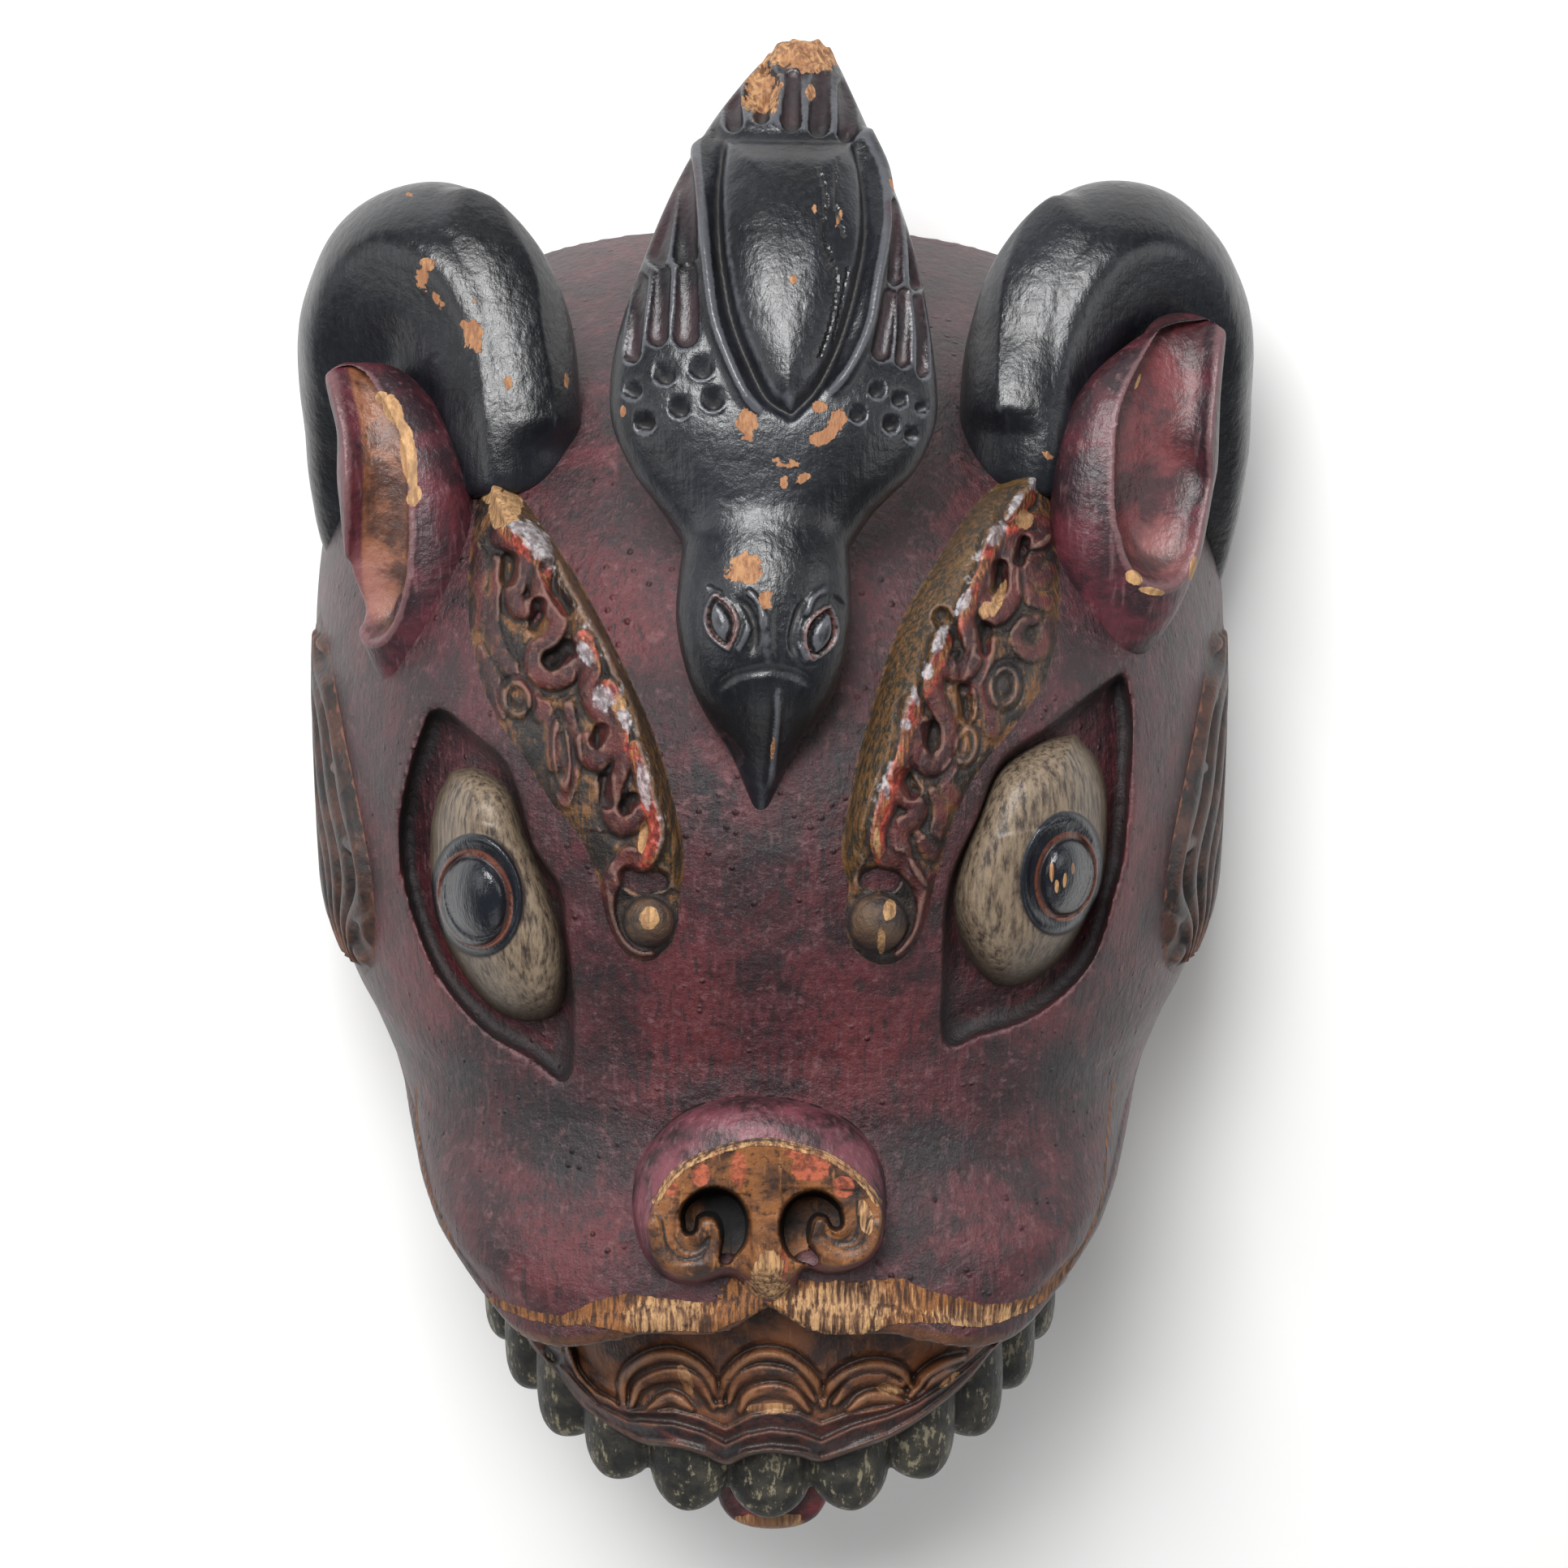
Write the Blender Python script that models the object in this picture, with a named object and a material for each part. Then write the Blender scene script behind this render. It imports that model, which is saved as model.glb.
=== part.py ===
"""Carved wooden helmet mask of a horned animal with a bird on its brow.

The mask lies on its back rim: the rim is at z = 0, the face looks up (+Z) and the crown points to +Y.
Sizes are in metres. The carving is laid out on a grid drawn on the block: one grid step is about a
millimetre, X across, Y up the face and Z out of it, and each step is a share of the head's own size.
"""
import math

import bmesh
import bpy
import numpy as np
from mathutils import Matrix

# Driving sizes of the head block
HEAD_WIDTH = 0.260
HEAD_HEIGHT = 0.340
HEAD_DEPTH = 0.189
SIDE_WALL = 0.014
FACE_WALL = 0.028

# Sizes of the carving, each free to change by itself
HORN_THICKNESS = 0.048
EAR_THICKNESS = 0.030
EAR_HOLLOW_DEPTH = 0.012
SOCKET_DEPTH = 0.009
EYE_LENGTH = 0.071
EYE_WIDTH = 0.043
EYE_BULGE = 0.017
PUPIL_RING_WIDTH = 0.033
PUPIL_RING_STAND = 0.0028
PUPIL_WIDTH = 0.021
PUPIL_SHIFT = 0.0055
BROW_STAND = 0.011
KNOB_WIDTH = 0.017
NOSE_STAND = 0.020
TOOTH_STAND = 0.008
TOOTH_PITCH = 0.0225
GUM_PITCH = 0.0265
GUM_STAND = 0.004
TONGUE_WIDTH = 0.033
LOWER_LIP_STAND = 0.005
BIRD_THICKNESS = 0.034

# Grid steps
X_STEP = HEAD_WIDTH / 260
Y_STEP = HEAD_HEIGHT / 340
Z_STEP = HEAD_DEPTH / 189
STEP = (X_STEP + Y_STEP + Z_STEP) / 3

LEFT, RIGHT = -1, 1

# Share of the facets that is kept once all forms are joined
FACET_SHARE = 0.44

# Head sections: height up the face, half width, depth and squareness
HEAD_HALF_WIDTH = ((-150, 78), (-95, 83), (-85, 88), (-79, 92), (-71, 97), (-63, 100.5), (-52, 105.5),
                   (-44, 112), (-34, 118), (-20, 125.5), (0, 129.5), (50, 130))
HEAD_FRONT = ((-150, 189), (-90, 189), (-75, 188), (-60, 185), (-45, 181), (-30, 178), (-15, 177.5),
              (0, 180), (25, 186), (50, 189))
HEAD_SQUARENESS = ((-150, 4.6), (-71, 4.5), (-63, 4.0), (-52, 3.2), (-44, 2.7), (-30, 2.5), (0, 2.45),
                   (50, 2.35), (172, 2.2))
CROWN = 167.5
CROWN_START = 40.0
FOREHEAD_START = 50.0
HEAD_LOW = -115.0
ROOF_GAP = 4.0

# Jaw sections behind the lips
JAW_HALF_WIDTH = ((-168, 26), (-163, 48), (-155, 64), (-140, 77), (-120, 82), (-90, 86), (-60, 93),
                  (-40, 101), (-10, 110))
JAW_FRONT = ((-168, 70), (-163, 104), (-155, 132), (-145, 146), (-125, 157), (-92, 166), (-60, 166),
             (-10, 160))
JAW_SQUARENESS = 2.5
CHIN = -168.0

# Edge of the upper lip from the back rim to the front, and its bow across the front
LIP_BACK_TO_FRONT = ((-30, -24), (0, -28), (40, -33), (80, -52), (110, -62), (150, -80), (175, -94),
                     (200, -97))
LIP_BOW_START, LIP_BOW_REACH = 120.0, 50.0
LIP_BOW = ((0, 19), (5, 15.5), (11, 12), (20, 11), (30, 11), (42, 8), (56, 3.5), (70, 0.5), (130, 0))

BACK_OFFSET = 5.5
RIGHT_EYE_RAISE = 9.0


def blend(table, at):
    """Smooth, never overshooting value of a table of (place, value) pairs."""
    knots, values = np.array(table, float).T
    gaps = np.diff(knots)
    slopes = np.diff(values) / gaps
    tangents = np.zeros(len(knots))
    tangents[0], tangents[-1] = slopes[0], slopes[-1]
    for i in range(1, len(knots) - 1):
        before, after = slopes[i - 1], slopes[i]
        if before * after > 0:
            a = 2 * gaps[i] + gaps[i - 1]
            b = gaps[i] + 2 * gaps[i - 1]
            tangents[i] = (a + b) / (a / before + b / after)
    at = np.clip(np.asarray(at, float), knots[0], knots[-1])
    i = np.clip(np.searchsorted(knots, at) - 1, 0, len(gaps) - 1)
    s = (at - knots[i]) / gaps[i]
    start = (1 + 2 * s) * (1 - s) ** 2 * values[i] + s * (1 - s) ** 2 * gaps[i] * tangents[i]
    end = s * s * (3 - 2 * s) * values[i + 1] + s * s * (s - 1) * gaps[i] * tangents[i + 1]
    return start + end


def curve(points, count):
    """Points spread evenly along the smooth curve through the given ones."""
    points = np.array(points, float)
    padded = np.vstack([2 * points[0] - points[1], points, 2 * points[-1] - points[-2]])
    s = np.linspace(0, 1, 12, endpoint=False)[:, None]
    pieces = []
    for a, b, c, d in zip(padded, padded[1:], padded[2:], padded[3:]):
        pieces.append(0.5 * (2 * b + (c - a) * s + (2 * a - 5 * b + 4 * c - d) * s ** 2
                             + (3 * b - a - 3 * c + d) * s ** 3))
    dense = np.vstack(pieces + [points[-1:]])
    steps = np.linalg.norm(np.diff(dense, axis=0), axis=1)
    along = np.concatenate([[0], np.cumsum(steps)])
    want = np.linspace(0, along[-1], count)
    return np.stack([np.interp(want, along, dense[:, k]) for k in range(dense.shape[1])], 1)


def unit(v):
    return v / np.maximum(np.linalg.norm(v, axis=-1, keepdims=True), 1e-9)


def head_section(y):
    """Half width, depth and squareness of the head at a height up the face."""
    side = np.clip((y - CROWN_START) / (CROWN - CROWN_START), 0, 0.99999)
    front = np.clip((y - FOREHEAD_START) / (CROWN - FOREHEAD_START), 0, 0.99999)
    half = blend(HEAD_HALF_WIDTH, y) * (1 - side ** 2.7) ** (1 / 2.7)
    depth = blend(HEAD_FRONT, y) * (1 - front ** 2.1) ** (1 / 2.1)
    return half, depth, blend(HEAD_SQUARENESS, y)


def jaw_section(y):
    return blend(JAW_HALF_WIDTH, y), blend(JAW_FRONT, y), JAW_SQUARENESS + 0 * y


def front_of(section, x, y):
    """Depth at which the form over a section function is met at (x, y)."""
    half, depth, n = section(y)
    return depth * (1 - np.clip(np.abs(x) / half, 0, 0.9995) ** n) ** (1 / n)


def side_of(section, y, z):
    half, depth, n = section(y)
    return half * (1 - np.clip(np.abs(z) / depth, 0, 0.9995) ** n) ** (1 / n)


def normal_of(section, p):
    """Outward direction of the form at surface points."""
    def level(q):
        half, depth, n = section(q[..., 1])
        return (np.abs(q[..., 0]) / half) ** n + (np.abs(q[..., 2]) / depth) ** n
    step = 0.5
    parts = []
    for axis in np.eye(3):
        parts.append(level(p + axis * step) - level(p - axis * step))
    return unit(np.stack(parts, -1))


def on_front(section, xy, lift=0.0):
    """Points of the form at (x, y), raised by lift along its normal, and those normals."""
    xy = np.asarray(xy, float)
    p = np.stack([xy[..., 0], xy[..., 1], front_of(section, xy[..., 0], xy[..., 1])], -1)
    n = normal_of(section, p)
    return p + n * np.asarray(lift, float)[..., None], n


def on_side(section, side, yz, lift=0.0):
    yz = np.asarray(yz, float)
    p = np.stack([side * side_of(section, yz[..., 0], yz[..., 1]), yz[..., 0], yz[..., 1]], -1)
    n = normal_of(section, p)
    return p + n * np.asarray(lift, float)[..., None], n


def material(name, colour, roughness):
    mat = bpy.data.materials.new(name)
    mat.use_nodes = True
    shader = mat.node_tree.nodes["Principled BSDF"]
    shader.inputs["Base Color"].default_value = (*colour, 1)
    shader.inputs["Roughness"].default_value = roughness
    shader.inputs["Metallic"].default_value = 0.0
    return mat


class Carving:
    """Closed forms that are joined to the block or cut out of it."""

    def __init__(self):
        self.groups = {}
        for name in ("cut_first", "add", "cut_last"):
            group = bpy.data.collections.new(name)
            bpy.context.scene.collection.children.link(group)
            self.groups[name] = group

    def solid(self, name, rings, mat, group="add"):
        """Closed solid through rings of points, each end closed to its middle."""
        mesh = bpy.data.meshes.new(name)
        bm = bmesh.new()
        scale = np.array([X_STEP, Y_STEP, Z_STEP])
        rows = [[bm.verts.new(p * scale) for p in ring] for ring in rings]
        for low, high in zip(rows, rows[1:]):
            for i in range(len(low)):
                j = (i + 1) % len(low)
                bm.faces.new((low[i], low[j], high[j], high[i]))
        for row, ring in ((rows[0], rings[0]), (rows[-1], rings[-1])):
            middle = bm.verts.new(np.mean(ring, 0) * scale)
            for i in range(len(row)):
                bm.faces.new((row[i], row[(i + 1) % len(row)], middle))
        bmesh.ops.triangulate(bm, faces=bm.faces[:])
        bmesh.ops.recalc_face_normals(bm, faces=bm.faces[:])
        for face in bm.faces:
            face.smooth = True
        bm.to_mesh(mesh)
        bm.free()
        mesh.materials.append(mat)
        obj = bpy.data.objects.new(name, mesh)
        if group is None:
            bpy.context.scene.collection.objects.link(obj)
        else:
            obj.hide_render = True
            obj.display_type = "WIRE"
            self.groups[group].objects.link(obj)
        return obj

    def ridge(self, name, path, normals, half, top, mat, profile, sink=5.0, group="add"):
        """Raised strip along a path: profile gives (share of half width, share of top) across it."""
        ahead = unit(np.gradient(path, axis=0))
        across = unit(np.cross(normals, ahead))
        half = np.broadcast_to(half, len(path))
        top = np.broadcast_to(top, len(path))
        rings = []
        for p, n, a, h, t in zip(path, normals, across, half, top):
            ring = [p + a * h * u + n * (t * v if v >= 0 else v * sink) for u, v in profile]
            rings.append(ring)
        return self.solid(name, np.array(rings), mat, group)

    def dome(self, name, centre, normal, along, long_half, short_half, height, mat, sink=5.0,
             sides=10, levels=3, fullness=1.0, group="add"):
        """Rounded button on a surface point."""
        a = unit(along - normal * np.dot(along, normal))
        b = np.cross(normal, a)
        turn = np.linspace(0, 2 * math.pi, sides, endpoint=False)
        rings = []
        shape = [(1.0, -sink)]
        for k in range(levels + 1):
            angle = 0.5 * math.pi * k / (levels + 0.6)
            shape.append((math.cos(angle) ** (1 / fullness), height * math.sin(angle) ** (1 / fullness)))
        for share, lift in shape:
            ring = centre + normal * lift
            rings.append(ring + share * (long_half * np.cos(turn)[:, None] * a
                                         + short_half * np.sin(turn)[:, None] * b))
        return self.solid(name, np.array(rings), mat, group)


ROUND = ((-1, -1), (-1, 0.0), (-0.75, 0.7), (0, 1), (0.75, 0.7), (1, 0.0), (1, -1))


def section_rings(section, heights, arc, inset_side=0.0, inset_front=0.0, squareness=0.0, back=-20.0):
    """Rings of a form across the given heights, open towards the back rim."""
    turn = np.linspace(0, math.pi, arc)
    rings = []
    for y in heights:
        half, depth, n = section(np.float64(y))
        half, depth, n = half - inset_side, depth - inset_front, n - squareness
        c, s = np.cos(turn), np.sin(turn)
        x = half * np.sign(c) * np.abs(c) ** (2 / n)
        z = depth * np.abs(s) ** (2 / n)
        z[0], z[-1] = 0, 0
        ring = np.stack([x, np.full(arc, y), z], 1)
        rings.append(np.vstack([[half, y, back], ring, [-half, y, back]]))
    return np.array(rings)


def head_heights(count):
    """Heights that crowd together towards the crown, where the form turns in."""
    share = np.linspace(0, 1, count)
    return HEAD_LOW + (CROWN - 0.02 - HEAD_LOW) * np.sin(share * math.pi / 2)


def lip_line(x, z):
    bow = blend(LIP_BOW, np.abs(x)) * np.clip((z - LIP_BOW_START) / LIP_BOW_REACH, 0, 1)
    return blend(LIP_BACK_TO_FRONT, z) + bow


def build_block(carving, mats):
    """Upper head with the mouth side cut along the lips, and the jaw behind them."""
    rings = section_rings(head_section, head_heights(27), 27)
    head = carving.solid("mask", rings, mats["maroon"], group=None)

    across = np.linspace(-150, 150, 31)
    depths = np.linspace(-30, 200, 15)
    rows = []
    for z in depths:
        edge = lip_line(across, np.full(31, z))
        top = np.stack([across, edge, np.full(31, z)], 1)
        low = np.stack([across, np.full(31, -200.0), np.full(31, z)], 1)
        rows.append(np.vstack([top, low[::-1]]))
    carving.solid("lip_cut", np.array(rows), mats["mouth"], group="cut_first")

    heights = np.concatenate([np.linspace(-10, -140, 9), [-150, -157, -163, -166.5, -168]])
    carving.solid("jaw", section_rings(jaw_section, heights, 19), mats["mouth"])
    return head


def hollow(carving, mats):
    """Inside of the helmet, open at the back rim."""
    side = SIDE_WALL / X_STEP
    front = FACE_WALL / Z_STEP
    top = CROWN - SIDE_WALL / Y_STEP - ROOF_GAP
    low = CHIN + SIDE_WALL / Y_STEP + ROOF_GAP

    def inner(y):
        head = head_section(CROWN - (CROWN - y) * (CROWN + 60) / (top + 60) if y > -60 else np.float64(y))
        jaw = jaw_section(np.float64(CHIN + (y - low) * (CHIN + 10) / (low + 10)) if y < -10 else y)
        mix = np.clip((y + 10) / 50, 0, 1)
        return [j * (1 - mix) + h * mix for h, j in zip(head, jaw)]

    share = np.linspace(0, 1, 17)
    heights = low + (top - 0.5 - low) * (0.5 - 0.5 * np.cos(share * math.pi))
    rings = section_rings(inner, heights, 17, side, front, 0.35, back=-40.0)
    carving.solid("hollow", rings, mats["bare_wood"], group="cut_last")

    corners = ((-200, -260), (200, -260), (200, 300), (-200, 300))
    box = [[(x, y, z) for x, y in corners] for z in (-60.0, 0.0)]
    carving.solid("back_plane", np.array(box, float), mats["bare_wood"], group="cut_last")


def eye_place(side, xy):
    """Places on the left eye carried to a side: the right eye sits a little higher."""
    xy = np.array(xy, float)
    raise_by = RIGHT_EYE_RAISE * (1 - (xy[..., 1] + 20) / 140) if side == RIGHT else 0
    return np.stack([-side * xy[..., 0], xy[..., 1] + raise_by], -1)


def eye(carving, mats, side):
    tag = "left" if side == LEFT else "right"
    outer = curve([(-87, 79), (-93, 61), (-95, 40), (-92, 14), (-80, -8), (-65, -15), (-51, -20)], 14)
    inner = curve([(-51, -20), (-49, 5), (-51, 31), (-59, 57), (-70, 73), (-87, 79)], 12)
    outline = eye_place(side, np.vstack([outer[:-1], inner[:-1]]))
    middle = eye_place(side, (-71, 28))
    depth = SOCKET_DEPTH / STEP
    rings = []
    for share, lift in ((1.05, 8), (1.0, 1), (0.9, -0.8 * depth), (0.72, -depth), (0.3, -depth)):
        xy = middle + (outline - middle) * share
        rings.append(on_front(head_section, xy, np.full(len(xy), lift))[0])
    carving.solid("socket_" + tag, np.array(rings), mats["maroon"], group="cut_first")

    centre, normal = on_front(head_section, middle + (0, 2), -depth)
    along = unit(np.array([side * 17.0, 70.0, 0.0]))
    long_half, short_half, bulge = EYE_LENGTH / STEP / 2, EYE_WIDTH / STEP / 2, EYE_BULGE / STEP
    carving.dome("eyeball_" + tag, centre, normal, along, long_half, short_half, bulge,
                 mats["eye_white"], sides=18, levels=4, fullness=1.5)

    a = unit(along - normal * np.dot(along, normal))
    b = np.cross(normal, a)
    shift = PUPIL_SHIFT / STEP
    outward = b * np.sign(b[0] * side)
    lift = bulge * 0.98
    centre = centre + outward * shift + normal * lift
    normal = unit(normal + outward * 0.2)
    a = unit(a - normal * np.dot(a, normal))
    b = np.cross(normal, a)
    turn = np.linspace(0, 2 * math.pi, 18, endpoint=False)
    around = np.cos(turn)[:, None] * a + np.sin(turn)[:, None] * b * 0.94
    ring, stand = PUPIL_RING_WIDTH / STEP / 2, PUPIL_RING_STAND / STEP
    ball = PUPIL_WIDTH / PUPIL_RING_WIDTH
    profile = ((1.0, -7), (1.0, 0.2), (0.93, stand), (0.78, stand), (ball + 0.04, stand - 1.5),
               (ball, stand - 0.5), (ball * 0.85, stand + 1.8), (ball * 0.5, stand + 3.6))
    rings = [centre + normal * rise + around * ring * share for share, rise in profile]
    carving.solid("pupil_" + tag, np.array(rings), mats["black"])


def brow(carving, mats, side):
    """Flame eyebrow: a plate high along its nose side, a row of curls on it and a knob at its foot."""
    tag = "left" if side == LEFT else "right"
    stand = BROW_STAND / STEP
    count = 15
    line = curve([(-74, 130), (-68, 119), (-62, 105), (-55, 91), (-48, 78), (-41, 66), (-35, 54), (-31, 42),
                  (-31, 36)], count) * (-side, 1)
    half = blend(((0, 2), (0.1, 8), (0.3, 14.5), (0.5, 16.5), (0.7, 14.5), (0.85, 11), (1, 7.5)),
                 np.linspace(0, 1, count))
    top = stand * blend(((0, 0.55), (0.15, 1), (0.8, 1), (1, 0.75)), np.linspace(0, 1, count))
    path, normals = on_front(head_section, line)
    profile = [(-1, -1), (-1, 0.05), (-0.5, 0.42), (0.2, 0.55), (0.55, 0.85), (0.85, 1.0), (1.0, 0.9),
               (1.22, 0.0), (1.22, -1)]
    if side == RIGHT:
        profile = [(-u, v) for u, v in profile][::-1]
    carving.ridge("brow_" + tag, path, normals, half, top, mats["gold"], profile)

    across = unit(np.cross(normals, unit(np.gradient(path, axis=0)))) * -side

    def on_brow(share, u):
        k = share * (count - 1)
        i = np.clip(k.astype(int), 0, count - 2)
        f = (k - i)[:, None]
        base = path[i] * (1 - f) + path[i + 1] * f
        n = unit(normals[i] * (1 - f) + normals[i + 1] * f)
        side_way = across[i] * (1 - f) + across[i + 1] * f
        width = np.interp(k, np.arange(count), half)[:, None]
        lift = np.interp(u, [-1, -0.5, 0.2, 0.55, 0.85, 1], [0.05, 0.42, 0.55, 0.85, 1, 0.9])[:, None]
        return base + side_way * width * u[:, None] + n * lift * stand, n

    for i in range(5):
        start = 0.13 + 0.155 * i
        shape = curve([(start, 0.92), (start + 0.035, 0.62), (start + 0.09, 0.42), (start + 0.125, 0.14),
                       (start + 0.115, -0.12)], 8)
        spine, n = on_brow(shape[:, 0], shape[:, 1])
        width = blend(((0, 3.4), (0.6, 2.6), (1, 2.2)), np.linspace(0, 1, 8))
        carving.ridge("curl_%s_%d" % (tag, i), spine, n, width, 3.2, mats["flame"],
                      ((-1, -1), (-0.9, 0.3), (0, 1), (0.9, 0.3), (1, -1)), sink=3.0)
    for i, (share, u, size) in enumerate(((0.14, -0.5, 2.6), (0.24, -0.62, 3.0), (0.36, -0.66, 3.4),
                                          (0.50, -0.6, 4.0), (0.63, -0.62, 3.4), (0.75, -0.55, 3.0))):
        spot, n = on_brow(np.array([share]), np.array([u]))
        carving.dome("bud_%s_%d" % (tag, i), spot[0], n[0], np.array([0.2, 1, 0]), size * 1.2, size, 2.6,
                     mats["gold"], sides=7, levels=2, sink=3.0)

    foot = np.array((-side * -30.0, 29.0))
    spot, n = on_front(head_section, foot)
    size = KNOB_WIDTH / STEP / 2
    carving.dome("knob_" + tag, spot + n * 1.0, n, np.array([0, 1.0, 0]), size, size, size * 1.15,
                 mats["gold"], sides=12)
    hook = curve([(-24, 44), (-29, 39), (-36, 38), (-41, 31), (-38, 21), (-30, 18)], 10) * (-side, 1)
    path, normals = on_front(head_section, hook)
    carving.ridge("hook_" + tag, path, normals, 2.6, 4.5, mats["gold"], ROUND)


def nose(carving, mats):
    """Horseshoe snout with curled nostrils, standing on the muzzle and tilted down."""
    tilt = math.radians(14)
    middle = np.array([-1.0, -49.0, 179.0 + NOSE_STAND / Z_STEP])
    up = np.array([0, math.cos(tilt), math.sin(tilt)])
    out = np.array([0, -math.sin(tilt), math.cos(tilt)])
    right = np.array([1.0, 0, 0])

    spiral = np.array([(0, 21), (9.5, 19), (18.5, 12.5), (24, 3), (25.2, -7), (22, -15.5), (16, -18),
                       (12.0, -13.5), (14.5, -8)])
    widths = ((0, 8.5), (0.2, 7.6), (0.4, 6.0), (0.6, 5.0), (0.85, 4.6), (1, 3.4))
    edge = ((-1, -1), (-1, -0.1), (-0.62, 0), (0.62, 0), (1, -0.1), (1.5, -1))[::-1]
    line = curve(np.vstack([spiral[::-1] * (-1, 1), spiral[1:] + (0.5, 1.0)]), 37)
    share = np.abs(np.linspace(-1, 1, 37))
    path = middle + line[:, :1] * right + line[:, 1:] * up
    half = blend(widths, share)
    carving.ridge("nostrils", path, np.tile(out, (37, 1)), half, 1.0, mats["nose"], edge, sink=26.0)
    rings = []
    for v, half, lift in ((22, 5, -1.5), (15, 6, -1.2), (6, 4.6, -1.2), (-6, 4.3, -1.4), (-16, 5.2, -2.2),
                          (-25, 7.5, -5.0), (-33, 10, -10)):
        base = middle + up * v
        rings.append([base - right * half - out * 30, base - right * half + out * (lift - 1.5),
                      base + out * lift, base + right * half + out * (lift - 1.5),
                      base + right * half - out * 30])
    carving.solid("septum", np.array(rings), mats["nose"])


def mouth_frame(along, y):
    """Point and outward direction on the jaw, a number of grid steps round from its middle."""
    half, depth, n = jaw_section(np.float64(y))
    turn = np.linspace(math.pi / 2, 0.02, 60)
    arc = np.stack([half * np.cos(turn) ** (2 / n), np.full(60, float(y)), depth * np.sin(turn) ** (2 / n)], 1)
    arc[0, 0] = 0
    gone = np.concatenate([[0], np.cumsum(np.linalg.norm(np.diff(arc, axis=0), axis=1))])
    p = np.array([np.interp(abs(along), gone, arc[:, k]) for k in range(3)])
    p[0] *= np.sign(along)
    return p, normal_of(jaw_section, p)


def mouth(carving, mats):
    """Scalloped gums, the band below them, the row of teeth and the tip of the tongue."""
    def along_jaw(points, count):
        line = curve(points, count)
        spots = [mouth_frame(u, y) for u, y in line]
        return np.array([p for p, n in spots]), np.array([n for p, n in spots])

    gum_top = GUM_STAND / STEP
    bead = ((-1, -1), (-0.9, 0.4), (0, 1), (0.9, 0.4), (1, -1))
    for i in range(-2, 3):
        at = GUM_PITCH / STEP * i
        low = -121 + 2.0 * abs(i)
        path, normals = along_jaw([(at - 12.5, low), (at - 10.5, low + 9), (at, low + 16), (at + 10.5, low + 9),
                                   (at + 12.5, low)], 10)
        carving.ridge("gum_arch_%d" % (i + 2), path, normals, 3.0, gum_top, mats["gum"], bead)
        path, normals = along_jaw([(at - 7, low - 1), (at, low + 7), (at + 7, low - 1)], 6)
        carving.ridge("gum_inner_%d" % (i + 2), path, normals, 3.0, gum_top * 0.8, mats["gum"], bead)
    band = [(x, -129 + 0.0017 * x * x) for x in np.linspace(-125, 125, 11)]
    path, normals = along_jaw(band, 23)
    carving.ridge("gum_band", path, normals, 5.0, gum_top * 1.1, mats["maroon"], bead)

    pitch = TOOTH_PITCH / STEP
    for i in range(-6, 7):
        reach = abs(i)
        drop = -161 + 2.2 * min(reach, 1) + 5.2 * max(reach - 1, 0)
        base, n = mouth_frame(pitch * i, -143 + 4.4 * reach)
        n = unit(n * (1, 0.15, 1))
        across = unit(np.cross((0, 1.0, 0), n))
        rings = []
        turn = np.linspace(0, 2 * math.pi, 10, endpoint=False)
        length = base[1] - drop
        wide = pitch * 0.53 * (1 - 0.02 * reach)
        for share, grow in ((0.8, 0.82), (0.4, 0.97), (-0.2, 1.0), (-0.62, 0.9), (-0.88, 0.66), (-1.0, 0.34)):
            centre = base + np.array([0, length * share, 0]) - n * 1.5
            oval = (np.cos(turn)[:, None] * across * wide * grow
                    + np.sin(turn)[:, None] * n * (TOOTH_STAND / STEP + 1.5) * grow ** 0.6)
            rings.append(centre + oval)
        carving.solid("tooth_%02d" % (i + 6), np.array(rings), mats["tooth"])

    rim = [(x, -163 + 0.0016 * x * x) for x in np.linspace(-118, 118, 11)]
    path, normals = along_jaw(rim, 17)
    carving.ridge("lower_lip", path, normals, 4.0, LOWER_LIP_STAND / STEP, mats["maroon"], ROUND)

    half = TONGUE_WIDTH / STEP / 2
    rings = []
    turn = np.linspace(0, 2 * math.pi, 12, endpoint=False)
    for y, z, grow, thick in ((-146, 118, 1.1, 9), (-158, 130, 1.05, 9), (-167, 135, 0.9, 8),
                              (-171, 136.5, 0.66, 5.5), (-172.5, 136.5, 0.4, 3)):
        ring = np.stack([0.8 + half * grow * np.cos(turn), np.full(12, float(y)), z - 4 + thick * np.sin(turn)], 1)
        rings.append(ring)
    carving.solid("tongue", np.array(rings), mats["tongue"])


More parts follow.
